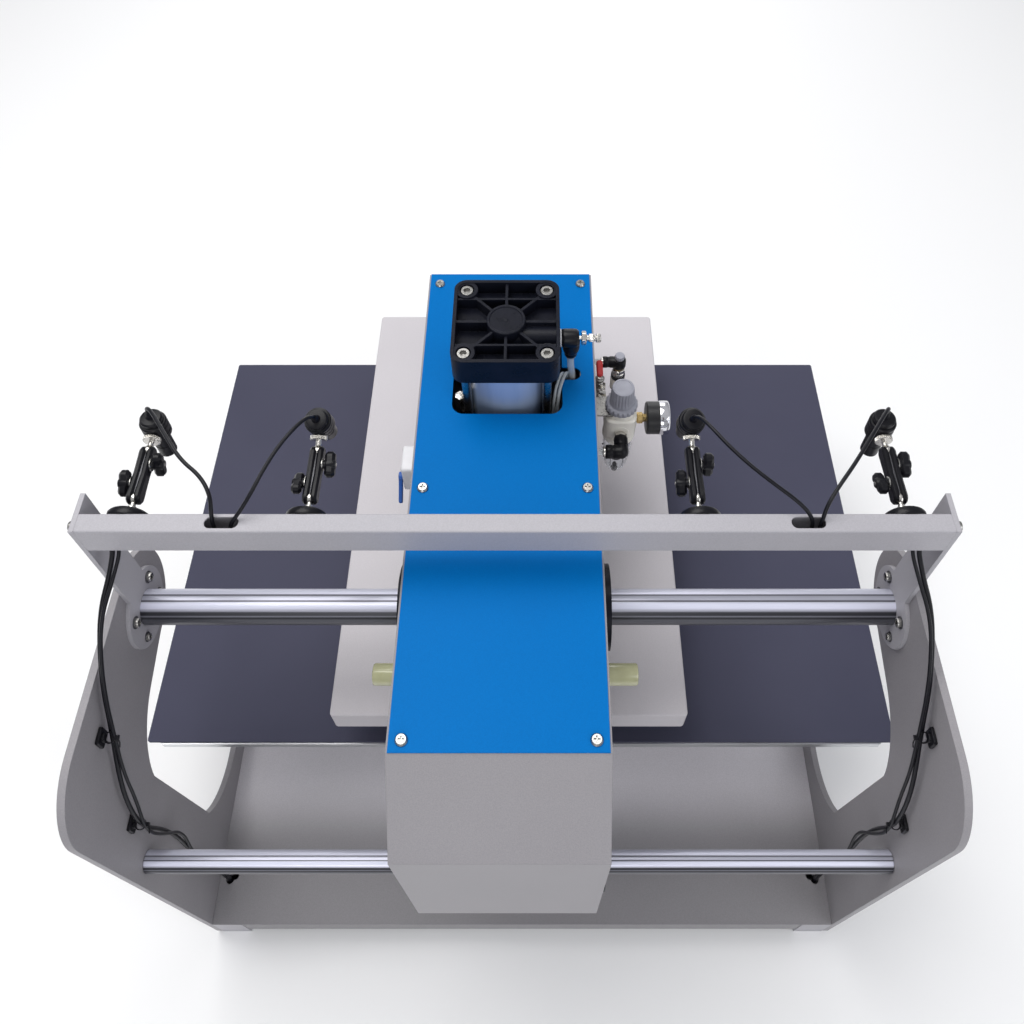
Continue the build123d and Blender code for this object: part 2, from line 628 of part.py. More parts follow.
with BuildPart() as flow_screw:
    with BuildSketch(Plane.YZ.offset(FLOW_END - 9)):
        with Locations((PORT_Y, PORT_Z)):
            Circle(2.5)
    extrude(amount=30)
    with BuildSketch(Plane.YZ.offset(FLOW_END + 0.4)):
        with Locations((PORT_Y, PORT_Z)):
            RegularPolygon(7, 6)
    extrude(amount=5)
    with BuildSketch(Plane.YZ.offset(FLOW_END + 9)):
        with Locations((PORT_Y, PORT_Z)):
            Circle(4.8)
    extrude(amount=13)
    chamfer(flow_screw.edges().group_by(Axis.X)[-1], 0.8)
finish(flow_screw, "flow_screw", HEAD_X)

print("cap_tube")
CAP_TUBE = [
    (LEG_X, PORT_Y, PORT_Z - LEG_H + 9.8),
    (LEG_X, PORT_Y, PORT_Z - LEG_H - 16),
    (TUBE_X - 1, TUBE_Y - 0.4, COVER_TOP - 2),
    (TUBE_X, TUBE_Y, COVER_TOP - 40),
]
with BuildPart() as cap_tube:
    add(cord_solid(CAP_TUBE, 8 - 2 * FIT))
finish(cap_tube, "cap_tube", HEAD_X)

# ---- filter regulator, gauge and valves ---------------------------------------------------
WALL_X = HEAD_W / 2
BODY = 40
with BuildPart() as regulator_body:
    with BuildSketch(Plane.XY.offset(553)):
        with Locations((REG_X, REG_Y)):
            RectangleRounded(BODY, BODY, 9)
    extrude(amount=46)
    with BuildSketch(Plane.XY.offset(545)):
        with Locations((REG_X, REG_Y)):
            Circle(21)
    extrude(amount=8)
    with BuildSketch(Plane.XY.offset(599)):
        with Locations((REG_X, REG_Y)):
            Circle(18)
    extrude(amount=18)
    with BuildSketch(Plane.XY.offset(607)):
        with Locations((REG_X, REG_Y)):
            Circle(19.5)
    extrude(amount=8)
    # bracket to the head's side wall
    with BuildSketch(Plane.XY.offset(603)):
        with Locations(((REG_X + WALL_X) / 2, REG_Y)):
            Rectangle(REG_X - WALL_X, 30)
    extrude(amount=3)
    with BuildSketch(Plane.XY.offset(570)):
        with Locations((WALL_X + 1.5, REG_Y)):
            Rectangle(3, 30)
    extrude(amount=36)
    with BuildSketch(Plane.XY.offset(590)):
        with Locations((REG_X, REG_Y)):
            Circle(6 + FIT)
    extrude(amount=40, mode=Mode.SUBTRACT)
finish(regulator_body, "regulator_body", HEAD_X)

with BuildPart() as regulator_knob:
    with BuildSketch(Plane.XY.offset(617.4)):
        with Locations((REG_X, REG_Y)):
            Circle(15.2)
    extrude(amount=6)
    with BuildSketch(Plane.XY.offset(623.4)):
        with Locations((REG_X, REG_Y)):
            Circle(14.5)
            with PolarLocations(14.9, 24):
                Circle(0.9, mode=Mode.SUBTRACT)
    extrude(amount=22)
    with BuildSketch(Plane.XY.offset(600)):
        with Locations((REG_X, REG_Y)):
            Circle(6)
    extrude(amount=18)
finish(regulator_knob, "regulator_knob", HEAD_X)

with BuildPart() as filter_bowl:
    with BuildSketch(Plane.XZ.offset(-REG_Y)):
        with BuildLine():
            Polyline((REG_X, 545), (REG_X + 19, 545), (REG_X + 19, 530), (REG_X + 16, 484))
            ThreePointArc((REG_X + 16, 484), (REG_X + 12, 473), (REG_X + 4.5, 468))
            Polyline((REG_X + 4.5, 468), (REG_X + 4.5, 458), (REG_X, 458), (REG_X, 545))
        make_face()
    revolve(axis=Axis((REG_X, REG_Y, 0), (0, 0, 1)))
    with BuildSketch(Plane.XY.offset(545)):
        with Locations((REG_X, REG_Y)):
            Circle(15)
    extrude(amount=-62, taper=2, mode=Mode.SUBTRACT)
finish(filter_bowl, "filter_bowl", HEAD_X)

SPEED_Y = 147
ELBOW_Y, ELBOW_Z = REG_Y - BODY / 2 - 26, 573
with BuildPart() as air_fittings:
    # elbow on the outlet, its tube into the head
    with BuildSketch(Plane.XZ.offset(-(REG_Y - BODY / 2))):
        with Locations((REG_X, 575)):
            Circle(9)
    extrude(amount=35)
    with BuildSketch(Plane.YZ.offset(WALL_X + 12)):
        with Locations((ELBOW_Y, ELBOW_Z)):
            Circle(8.8)
    extrude(amount=REG_X - WALL_X - 12)
    with BuildSketch(Plane.YZ.offset(WALL_X)):
        with Locations((ELBOW_Y, ELBOW_Z)):
            Circle(4)
    extrude(amount=20)
    # inlet speed control behind the regulator
    with BuildSketch(Plane.XZ.offset(-SPEED_Y)):
        with Locations((REG_X, 576)):
            Circle(6.5)
    extrude(amount=SPEED_Y - REG_Y - BODY / 2)
    with BuildSketch(Plane.XY.offset(566)):
        with Locations((REG_X, SPEED_Y)):
            RegularPolygon(9, 6)
    extrude(amount=36)
    with BuildSketch(Plane.XY.offset(602)):
        with Locations((REG_X, SPEED_Y)):
            Circle(9)
    extrude(amount=18)
    with BuildSketch(Plane.YZ.offset(WALL_X + 12)):
        with Locations((SPEED_Y, 611)):
            Circle(7.5)
    extrude(amount=REG_X - WALL_X - 12)
    with BuildSketch(Plane.YZ.offset(WALL_X)):
        with Locations((SPEED_Y, 611)):
            Circle(4)
    extrude(amount=20)
    with BuildSketch(Plane.XY.offset(620)):
        with Locations((REG_X, SPEED_Y)):
            Circle(6.5)
    extrude(amount=11)
finish(air_fittings, "air_fittings", HEAD_X)

STEM_X = REG_X + BODY / 2
CASE_X = STEM_X + 12
CASE_L, CASE_D = 29, 43
with BuildPart() as gauge_case:
    with BuildSketch(Plane.YZ.offset(STEM_X)):
        with Locations((GAUGE_Y, GAUGE_Z)):
            RegularPolygon(7, 6)
    extrude(amount=12)
    with BuildSketch(Plane.YZ.offset(CASE_X)):
        with Locations((GAUGE_Y, GAUGE_Z)):
            Circle(CASE_D / 2)
    extrude(amount=CASE_L)
    with BuildSketch(Plane.YZ.offset(CASE_X + 20)):
        with Locations((GAUGE_Y, GAUGE_Z)):
            Circle(CASE_D / 2 - 2.5)
    extrude(amount=CASE_L, mode=Mode.SUBTRACT)
    with BuildSketch(Plane.YZ.offset(CASE_X + 10)):
        with Locations((GAUGE_Y, GAUGE_Z)):
            Circle(1.5 + FIT)
    extrude(amount=20, mode=Mode.SUBTRACT)
finish(gauge_case, "gauge_case", HEAD_X)

with BuildPart() as gauge_needle:
    with BuildSketch(Plane.YZ.offset(CASE_X + 12)):
        with Locations((GAUGE_Y, GAUGE_Z)):
            Circle(1.5)
    extrude(amount=10)
    with BuildSketch(Plane.YZ.offset(CASE_X + 21.5)):
        with Locations((GAUGE_Y, GAUGE_Z)):
            Circle(3)
        with Locations((GAUGE_Y, GAUGE_Z + 4.5)):
            Rectangle(1.4, 21)
    extrude(amount=1.6)
finish(gauge_needle, "gauge_needle", HEAD_X)

VALVE_X, VALVE_Y, VALVE_Z = WALL_X + 10, 117, 596
LEVER_Z = 620
with BuildPart() as air_valve:
    with BuildSketch(Plane.XZ.offset(-VALVE_Y - 10)):
        with Locations((VALVE_X, VALVE_Z)):
            RegularPolygon(8.5, 6)
    extrude(amount=19.5)
    with BuildSketch(Plane.XZ.offset(-VALVE_Y + 9.5)):
        with Locations((VALVE_X, VALVE_Z)):
            Circle(5.5)
    extrude(amount=10)
    with BuildSketch(Plane.XY.offset(VALVE_Z)):
        with Locations((VALVE_X, VALVE_Y)):
            Circle(5)
    extrude(amount=20)
    with BuildSketch(Plane.YZ.offset(WALL_X)):
        with Locations((VALVE_Y, VALVE_Z)):
            Rectangle(18, 10)
    extrude(amount=8)
    with BuildSketch(Plane.XY.offset(VALVE_Z + 4)):
        with Locations((VALVE_X, VALVE_Y)):
            Circle(2.5 + FIT)
    extrude(amount=20, mode=Mode.SUBTRACT)
finish(air_valve, "air_valve", HEAD_X)

with BuildPart() as air_valve_handle:
    with BuildSketch(Plane.XY.offset(VALVE_Z + 6)):
        with Locations((VALVE_X, VALVE_Y)):
            Circle(2.5)
    extrude(amount=LEVER_Z - VALVE_Z - 6)
    with BuildSketch(Plane.XY.offset(LEVER_Z)):
        with Locations((VALVE_X, VALVE_Y)):
            Circle(6)
        with Locations((VALVE_X, VALVE_Y + 10.5)):
            RectangleRounded(8, 30, 3)
    extrude(amount=4)
    with BuildSketch(Plane.XY.offset(LEVER_Z)):
        with Locations((VALVE_X, VALVE_Y + 12)):
            RectangleRounded(8, 27, 3)
    extrude(amount=9)
finish(air_valve_handle, "air_valve_handle", HEAD_X)

HAND_Y, HAND_Z = -22, 638
with BuildPart() as hand_valve:
    with BuildSketch(Plane.YZ.offset(-WALL_X - 16)):
        with Locations((HAND_Y, HAND_Z)):
            RectangleRounded(34, 44, 3)
    extrude(amount=16)
    with BuildSketch(Plane.YZ.offset(-WALL_X - 17)):
        with Locations((HAND_Y - 8, HAND_Z - 6)):
            Circle(2.5 + FIT)
    extrude(amount=12, mode=Mode.SUBTRACT)
finish(hand_valve, "hand_valve", HEAD_X)

with BuildPart() as hand_valve_lever:
    with BuildSketch(Plane.YZ.offset(-WALL_X - 20)):
        with Locations((HAND_Y - 8, HAND_Z - 6)):
            Circle(2.5)
    extrude(amount=13)
    with BuildSketch(Plane.YZ.offset(-WALL_X - 21.4)):
        with Locations((HAND_Y - 8, HAND_Z - 6)):
            Circle(6)
        with Locations((HAND_Y - 20, HAND_Z - 14)):
            RectangleRounded(32, 8, 3, rotation=34)
    extrude(amount=5)
finish(hand_valve_lever, "hand_valve_lever", HEAD_X)

# ---- operator controls at the front -------------------------------------------------------
BOX_Y, BOX_Z0, BOX_Z1, BOX_X = 55, 530, 622, 180
START_X, STOP_X, BUTTON_Z = -52, 56, 566
BOX_FACE = HEAD_Y1 + BOX_Y
with BuildPart() as control_box:
    with BuildSketch(Plane.XY.offset(BOX_Z0)):
        with Locations((0, HEAD_Y1 + BOX_Y / 2)):
            RectangleRounded(BOX_X, BOX_Y, 4)
    extrude(amount=BOX_Z1 - BOX_Z0)
    with BuildSketch(Plane.XY.offset(BOX_Z0 + 2)):
        with Locations((0, HEAD_Y1 + BOX_Y / 2 - 2)):
            Rectangle(BOX_X - 6, BOX_Y - 4)
    extrude(amount=BOX_Z1 - BOX_Z0 - 4, mode=Mode.SUBTRACT)
    with BuildSketch(Plane.XZ.offset(-BOX_FACE - 1)):
        with Locations((START_X, BUTTON_Z), (STOP_X, BUTTON_Z)):
            Circle(10 + FIT)
    extrude(amount=6, mode=Mode.SUBTRACT)
finish(control_box, "control_box", HEAD_X)

for name, x, d, h in (("start_button", START_X, 26, 8), ("stop_button", STOP_X, 40, 16)):
    with BuildPart() as button:
        with BuildSketch(Plane.XZ.offset(-BOX_FACE - 6)):
            with Locations((x, BUTTON_Z)):
                Circle(10)
        extrude(amount=22)
        with BuildSketch(Plane.XZ.offset(-BOX_FACE - 6 - h)):
            with Locations((x, BUTTON_Z)):
                Circle(d / 2)
        extrude(amount=h)
        fillet(button.edges().group_by(Axis.Y)[-1], 3)
    finish(button, name, HEAD_X)

HANDLE_Z, HANDLE_R = 510, 9
with BuildPart() as slide_handle:
    bar_y = HEAD_Y1 + 70
    with BuildLine():
        FilletPolyline(
            (-75, HEAD_Y1 + 4, HANDLE_Z),
            (-75, bar_y, HANDLE_Z),
            (75, bar_y, HANDLE_Z),
            (75, HEAD_Y1 + 4, HANDLE_Z),
            radius=20,
        )
    with BuildSketch(Plane.XZ.offset(-HEAD_Y1 - 4)):
        with Locations((-75, HANDLE_Z)):
            Circle(HANDLE_R)
    sweep()
    with BuildSketch(Plane.XZ.offset(-HEAD_Y1 - 5)):
        with Locations((-75, HANDLE_Z), (75, HANDLE_Z)):
            Circle(13)
    extrude(amount=5)
finish(slide_handle, "slide_handle", HEAD_X)

# ---- ram and upper platen -----------------------------------------------------------------
RAM_TOP = UPPER_TOP + RAM_T
STUDS = [(x, PRESS_Y + y) for x in (-50, 50) for y in (-60, 60)]
HEAT_TOP = HEAT_Z + HEAT_T

with BuildPart() as piston_rod:
    with BuildSketch(Plane.XY.offset(RAM_TOP)):
        with Locations((0, PRESS_Y)):
            Circle(ROD_D / 2)
    extrude(amount=706 - RAM_TOP)
    with BuildSketch(Plane.XY.offset(706)):
        with Locations((0, PRESS_Y)):
            Circle(BORE / 2 - FIT)
    extrude(amount=25)
    with BuildSketch(Plane.XY.offset(RAM_TOP)):
        with Locations((0, PRESS_Y)):
            RegularPolygon(22, 6)
    extrude(amount=14)
finish(piston_rod, "piston_rod", HEAD_X)

with BuildPart() as ram_plate:
    with BuildSketch(Plane.XY.offset(UPPER_TOP)):
        with Locations((0, PRESS_Y)):
            RectangleRounded(140, 260, 10)
    extrude(amount=RAM_T)
    with BuildSketch(Plane.XY.offset(HEAT_TOP)):
        with Locations(*STUDS):
            Circle(6)
    extrude(amount=RAM_TOP - HEAT_TOP)
    with BuildSketch(Plane.XY.offset(RAM_TOP)):
        with Locations(*STUDS):
            RegularPolygon(10, 6)
    extrude(amount=8)
finish(ram_plate, "ram_plate", HEAD_X)

with BuildPart() as guide_rods:
    with BuildSketch(Plane.XY.offset(RAM_TOP)):
        with Locations(*GUIDES):
            Circle(GUIDE_D / 2)
    extrude(amount=640 - RAM_TOP)
    chamfer(guide_rods.edges().group_by(Axis.Z)[-1], 1)
finish(guide_rods, "guide_rods", HEAD_X)

with BuildPart() as platen_cover:
    with BuildSketch(Plane.XY.offset(UPPER_TOP - UPPER_H)):
        with Locations((0, PRESS_Y)):
            RectangleRounded(UPPER_X, UPPER_Y, 5)
    extrude(amount=UPPER_H)
    fillet(platen_cover.edges().group_by(Axis.Z)[-1], 2.5)
    with BuildSketch(Plane.XY.offset(UPPER_TOP - UPPER_H)):
        with Locations((0, PRESS_Y)):
            RectangleRounded(UPPER_X - 2 * SHEET, UPPER_Y - 2 * SHEET, 3)
    extrude(amount=UPPER_H - SHEET, mode=Mode.SUBTRACT)
    with BuildSketch(Plane.XY.offset(UPPER_TOP - 5)):
        with Locations(*STUDS):
            Circle(6.5)
    extrude(amount=10, mode=Mode.SUBTRACT)
finish(platen_cover, "platen_cover", HEAD_X)

with BuildPart() as heat_platen:
    with BuildSketch(Plane.XY.offset(HEAT_Z)):
        with Locations((0, PRESS_Y)):
            RectangleRounded(HEAT_X, HEAT_Y, 3)
    extrude(amount=HEAT_T)
finish(heat_platen, "heat_platen", HEAD_X)

with BuildPart() as insulation_board:
    with BuildSketch(Plane.XY.offset(HEAT_TOP)):
        with Locations((0, PRESS_Y)):
            Rectangle(HEAT_X, HEAT_Y)
        with Locations(*STUDS):
            Circle(6.5, mode=Mode.SUBTRACT)
    extrude(amount=UPPER_TOP - SHEET - HEAT_TOP)
finish(insulation_board, "insulation_board", HEAD_X)

# ---- positioning lamps --------------------------------------------------------------------
BASE_FACE = BEAM_Y1
STEM_D, BALL_D = 6, 12.6
CLAMP_W = 15.6
LOWER_BALL_Y = -118
LAMP_Y = -32

with BuildPart() as lamp_bases:
    for x in LAMP_X:
        with BuildSketch(Plane.XZ.offset(-BASE_FACE - 9)):
            with Locations((x, ARM_Z)):
                Circle(21)
        extrude(amount=9)
        with BuildSketch(Plane.XZ.offset(-BASE_FACE - 15)):
            with Locations((x, ARM_Z)):
                Circle(9)
        extrude(amount=7)
        with BuildSketch(Plane.XZ.offset(-LOWER_BALL_Y)):
            with Locations((x, ARM_Z)):
                Circle(STEM_D / 2)
        extrude(amount=LOWER_BALL_Y - BASE_FACE - 10)
        with Locations((x, LOWER_BALL_Y, ARM_Z)):
            Sphere(BALL_D / 2)
finish(lamp_bases, "lamp_bases")

CLAMP_Y0, CLAMP_Y1 = LOWER_BALL_Y - 6, BALL_Y + 5
with BuildPart() as lamp_clamps:
    for x in LAMP_X:
        with BuildSketch(Plane.XY.offset(ARM_Z - CLAMP_W / 2)):
            with Locations((x, (CLAMP_Y0 + CLAMP_Y1) / 2)):
                SlotOverall(CLAMP_Y1 - CLAMP_Y0, CLAMP_W, rotation=90)
        extrude(amount=CLAMP_W)
        with Locations((x, LOWER_BALL_Y, ARM_Z), (x, BALL_Y, ARM_Z)):
            Sphere(BALL_D / 2 + FIT, mode=Mode.SUBTRACT)
        with BuildSketch(Plane.XZ.offset(-CLAMP_Y0 + 2)):
            with Locations((x, ARM_Z)):
                Circle(4.5)
        extrude(amount=-12, mode=Mode.SUBTRACT)
        with BuildSketch(Plane.YZ.offset(x - 5.5)):
            with BuildLine():
                Polyline(
                    (BALL_Y - 4, ARM_Z),
                    (BALL_Y + 14, ARM_Z - 30),
                    (BALL_Y + 14, ARM_Z + 30),
                    close=True,
                )
            make_face()
        extrude(amount=11, mode=Mode.SUBTRACT)
finish(lamp_clamps, "lamp_clamps")

with BuildPart() as clamp_knobs:
    for x in LAMP_X:
        for way, y in ((-1, LOWER_BALL_Y + 18), (1, BALL_Y - 16)):
            face = x + way * CLAMP_W / 2
            with BuildSketch(left_of(face, face + way * 3)):
                with Locations((y, ARM_Z)):
                    Circle(5)
            extrude(amount=3)
            with BuildSketch(left_of(face + way * 3, face + way * 13)):
                with Locations((y, ARM_Z)):
                    SlotOverall(27, 12)
            extrude(amount=10)
finish(clamp_knobs, "clamp_knobs")

TUBE_TOP, TUBE_BOTTOM = ARM_Z + 8, 692
for x, name, lean in zip(LAMP_X, LAMP_NAMES, LAMP_LEAN):
    # the lamp swings forward about its ball, so its own frame is tilted there
    upright = (0, -sin(radians(lean)), cos(radians(lean)))
    ball = Plane(origin=(x, BALL_Y, ARM_Z), x_dir=(1, 0, 0), z_dir=upright)
    with BuildPart(ball) as lamp:
        Sphere(BALL_D / 2)
        with Locations((0, (LAMP_Y - BALL_Y) / 2, 0)):
            Cylinder(STEM_D / 2, LAMP_Y - BALL_Y, rotation=(90, 0, 0))
        with Locations((0, LAMP_Y - BALL_Y - 16, 0)):
            Cylinder(9, 4, rotation=(90, 0, 0))
        with Locations((0, LAMP_Y - BALL_Y, 1)):
            Cylinder(14, 22)
        with Locations((0, LAMP_Y - BALL_Y, 14)):
            Cylinder(12, 10)
        with Locations((0, LAMP_Y - BALL_Y, (TUBE_TOP + TUBE_BOTTOM) / 2 - ARM_Z)):
            Cylinder(9.5, TUBE_TOP - TUBE_BOTTOM)
    finish(lamp, name)


def on_lamp(index, up, forward=0.0):
    """A point on a lamp's axis, above its ball's height, carried by the lamp's lean."""
    lean = radians(LAMP_LEAN[index])
    y = LAMP_Y - BALL_Y + forward
    return (
        LAMP_X[index],
        BALL_Y + y * cos(lean) - up * sin(lean),
        ARM_Z + y * sin(lean) + up * cos(lean),
    )


LAMP_CORD_D = 4
LAMP_EXIT = 19.2  # top of the lamp's cap above the ball
CORD_ROUTES = {
    "lamp_cord_outer_left": [
        on_lamp(0, LAMP_EXIT),
        (-379, -33, 774),
        (-367, -44, 784),
        (-346, -73, 786),
        (-325, -101, 783),
        (-303, -117, 779),
        (-291, -135, 773),
        (-290, -151, 761),
        (-291, -155, 744),
        (-291, -155, 728),
    ],
    "lamp_cord_inner_left": [
        on_lamp(1, LAMP_EXIT),
        (-206, -47, 780),
        (-214, -62, 789),
        (-229, -87, 789),
        (-241, -112, 785),
        (-250, -134, 779),
        (-260, -148, 769),
        (-270, -154, 757),
        (-276, -155, 744),
        (-279, -155, 728),
    ],
    "lamp_cord_inner_right": [
        on_lamp(2, LAMP_EXIT),
        (182, -47, 781),
        (192, -65, 788),
        (207, -87, 787),
        (227, -109, 784),
        (248, -127, 780),
        (268, -141, 774),
        (281, -150, 765),
        (287, -154, 750),
        (288, -155, 728),
    ],
    "lamp_cord_outer_right": [
        on_lamp(3, LAMP_EXIT),
        (381, -33, 774),
        (372, -45, 784),
        (350, -76, 786),
        (328, -106, 783),
        (309, -129, 779),
        (297, -145, 772),
        (294, -153, 758),
        (294, -155, 743),
        (295, -155, 728),
    ],
}
for name, route in CORD_ROUTES.items():
    print(name)
    with BuildPart() as lamp_cord:
        add(cord_solid(route, LAMP_CORD_D))
    finish(lamp_cord, name)

SIDE_CABLE_D = 5
SIDE_ROUTE = [
    (-397, -155, 744),
    (-397, -156, 716),
    (-405, -176, 690),
    (-416, -204, 664),
    (-418, -237, 634),
    (-418, -265, 601),
    (-415, -292, 565),
    (-416, -326, 512),
    (-415, -345, 468),
    (-414, -352, 420),
    (-412, -343, 372),
    (-411, -340, 318),
    (-411, -344, 260),
    (-411, -345, 200),
    (-411, -343, 140),
    (-411, -345, 84),
    (-411, -345, 40),
]
print("side_cables")
cables = [cord_solid([(x * side, y, z) for x, y, z in SIDE_ROUTE], SIDE_CABLE_D) for side in (1, -1)]
with BuildPart() as side_cables:
    for cable in cables:
        add(cable)
finish(side_cables, "side_cables")

# adhesive tie mounts that hold the side cables to the plates
CLIPS = [(-299, 567), (-351, 432), (-344, 180)]
with BuildPart() as cable_clips:
    for side in (-1, 1):
        face = side * SPAN / 2
        with BuildSketch(left_of(face, face - side * 6)):
            with Locations(*CLIPS):
                RectangleRounded(18, 18, 2)
        extrude(amount=6)
finish(cable_clips, "cable_clips")
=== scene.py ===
"""The look of the sliding-head heat press: materials, detailed pieces, lights and camera."""

import functools
import json
import math

import bmesh
import bpy
from mathutils import Matrix, Vector


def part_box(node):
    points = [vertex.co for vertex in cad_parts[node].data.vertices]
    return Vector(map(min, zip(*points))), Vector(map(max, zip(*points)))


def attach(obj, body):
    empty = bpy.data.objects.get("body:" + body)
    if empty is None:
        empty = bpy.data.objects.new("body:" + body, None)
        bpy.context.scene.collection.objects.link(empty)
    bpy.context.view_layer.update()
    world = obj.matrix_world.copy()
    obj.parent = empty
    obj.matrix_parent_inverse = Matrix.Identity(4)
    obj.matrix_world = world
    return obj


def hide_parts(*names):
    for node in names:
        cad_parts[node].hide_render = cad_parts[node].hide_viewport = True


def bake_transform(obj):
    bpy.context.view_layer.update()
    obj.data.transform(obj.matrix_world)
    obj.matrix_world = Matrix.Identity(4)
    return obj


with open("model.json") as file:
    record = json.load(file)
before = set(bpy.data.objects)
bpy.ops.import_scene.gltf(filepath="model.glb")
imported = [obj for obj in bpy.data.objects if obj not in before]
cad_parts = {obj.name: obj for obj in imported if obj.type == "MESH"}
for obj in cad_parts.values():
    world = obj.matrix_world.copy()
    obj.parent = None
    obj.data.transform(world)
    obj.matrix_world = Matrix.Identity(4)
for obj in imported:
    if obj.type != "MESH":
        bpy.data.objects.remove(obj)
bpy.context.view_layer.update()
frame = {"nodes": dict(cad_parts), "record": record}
NODES = frame["nodes"]
MM = 0.001
TAU = 2 * math.pi


def low(node):
    """Lowest corner of a CAD node's box, in millimetres."""
    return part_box(node)[0] / MM


def high(node):
    """Highest corner of a CAD node's box, in millimetres."""
    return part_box(node)[1] / MM


def middle(node):
    """Centre of a CAD node's box, in millimetres."""
    return (low(node) + high(node)) / 2


# ---- materials ----------------------------------------------------------------------------
GRAIN_DEPTH = 0.0004
COAT_ROUGHNESS = 0.15
# the blue tint of the painted reflection bands
REFLECTION_BLUENESS = 1.02


def feed(node, *inputs, **named):
    """Gives a node's inputs, in their order or by name, each a value or the socket it is linked to."""
    by_name = [(node.inputs[name.replace("_", " ")], given) for name, given in named.items()]
    for socket, given in [*zip(node.inputs, inputs), *by_name]:
        if isinstance(given, bpy.types.NodeSocket):
            node.id_data.links.new(given, socket)
        else:
            socket.default_value = given


def add_node(tree, kind, *inputs, setting=None, **named):
    """A new shader node, with at most one setting, (name, value), and its inputs."""
    node = tree.nodes.new("ShaderNode" + kind)
    if setting:
        setattr(node, *setting)
    feed(node, *inputs, **named)
    return node


def surface(name, light, dark, rough=(0.4, 0.5), metal=0.0, patch=14.0, grain=900.0, bump=0.1,
            stretch=(1, 1, 1), bevel=0.0008, coat=0.0, speckle=0.0, glow=None, clear=0.0, ior=1.45,
            shine=0.5, painted_reflections=None, reflections_from=("-Y", "Z"), painted_shading_along_y=None):
    """A finish of slow patches between two colours, with a fine grain and softened edges.

    Reflection bands are (degrees, value) pairs round a polished bar, painted reflections by the angle
    that the surface faces. The tone along Y is painted light and shade: where it starts and ends, in
    metres, and its value at each of them.
    """
    made = bpy.data.materials.new(name)
    made.use_nodes = True
    add = functools.partial(add_node, made.node_tree)
    place = add("TexCoord").outputs["Object"]
    scaled = add("Mapping", Vector=place, Scale=stretch).outputs["Vector"]
    slow = add("TexNoise", Vector=scaled, Scale=patch, Detail=5).outputs["Fac"]
    fine = add("TexNoise", Vector=scaled, Scale=grain, Detail=3).outputs["Fac"]

    ramp = add("ValToRGB", slow)
    for element, position, tone in zip(ramp.color_ramp.elements, (0.3, 0.7), (dark, light)):
        element.position = position
        element.color = (*tone, 1)
    colour = ramp.outputs["Color"]

    tones = []
    if speckle:
        tones.append(add("MapRange", fine, 0.35, 0.65, 1 - speckle, 1 + speckle))
    # painted light and shade: the colour is scaled lighter at one end and darker at the other, along Y
    if painted_shading_along_y:
        along = add("SeparateXYZ", place).outputs["Y"]
        tones.append(add("MapRange", along, *painted_shading_along_y, setting=("interpolation_type", "SMOOTHSTEP")))
    for tone in tones:
        tint = add("VectorMath", colour, setting=("operation", "SCALE"), Scale=tone.outputs["Result"])
        colour = tint.outputs["Vector"]

    if painted_reflections:
        # painted reflections: a tone by the angle that the surface faces, between the two directions given
        # for the bands
        normal = add("SeparateXYZ", add("NewGeometry").outputs["Normal"]).outputs
        parts = [add("Math", normal[way[-1]], -1 if way[0] == "-" else 1, setting=("operation", "MULTIPLY"))
                 for way in reflections_from]
        angle = add("Math", *(part.outputs["Value"] for part in parts), setting=("operation", "ARCTAN2"))
        turn = add("Math", angle.outputs["Value"], 1 / TAU, 0.5, setting=("operation", "MULTIPLY_ADD"))
        painted_reflection_ramp = add("ValToRGB", turn.outputs["Value"])
        elements = painted_reflection_ramp.color_ramp.elements
        while len(elements) < len(painted_reflections):
            elements.new(0.5)
        for element, (degrees, value) in zip(elements, painted_reflections):
            element.position = degrees / 360 + 0.5
            element.color = (value, value, value * REFLECTION_BLUENESS, 1)
        shade = add("MixRGB", 1, colour, painted_reflection_ramp.outputs["Color"], setting=("blend_type", "MULTIPLY"))
        colour = shade.outputs["Color"]

    spread = add("MapRange", slow, To_Min=rough[0], To_Max=rough[1])
    edge = add("Bevel", bevel, setting=("samples", 4))
    raised = add("Bump", Strength=bump, Distance=GRAIN_DEPTH, Height=fine, Normal=edge.outputs["Normal"])
    shader = made.node_tree.nodes["Principled BSDF"]
    feed(shader, Base_Color=colour, Roughness=spread.outputs["Result"], Normal=raised.outputs["Normal"],
         Metallic=metal, Specular_IOR_Level=shine, Coat_Weight=coat, Coat_Roughness=COAT_ROUGHNESS,
         Transmission_Weight=clear, IOR=ior)
    if glow:
        feed(shader, Emission_Color=(*glow[:3], 1), Emission_Strength=glow[3])
    return made


POWDERED = {"rough": (0.42, 0.52), "patch": 5, "bump": 0.30, "shine": 0.35}
POWDER = surface("powder_coat", (0.415, 0.405, 0.437), (0.383, 0.374, 0.405), speckle=0.055, bevel=0.0012,
                 **POWDERED)
COVER_COAT = surface("platen_cover_coat", (0.58, 0.556, 0.585), (0.545, 0.523, 0.552), speckle=0.045,
                     bevel=0.001, **POWDERED)
# painted shade: a darker copy of the beige powder coat, for the side plates and the head housing
POWDER_PAINTED_SHADE = surface("powder_coat_painted_shade", (0.305, 0.293, 0.310), (0.277, 0.266, 0.283), speckle=0.055, bevel=0.0012,
                     **POWDERED)
# painted light and shade: the floor panel is made lighter beside the mat and darker further towards -Y
PANEL_COAT = surface("floor_panel_coat", (0.53, 0.51, 0.54), (0.49, 0.475, 0.50), rough=(0.45, 0.55), patch=5,
                     bump=0.30, shine=0.35, speckle=0.055, bevel=0.0012, painted_shading_along_y=(-0.31, -0.21, 0.50, 1.42))
BLUE = surface("blue_coat", (0.0004, 0.153, 0.48), (0.0004, 0.139, 0.445), rough=(0.36, 0.46), patch=4,
               bump=0.2, speckle=0.04, bevel=0.0005, shine=0.04)
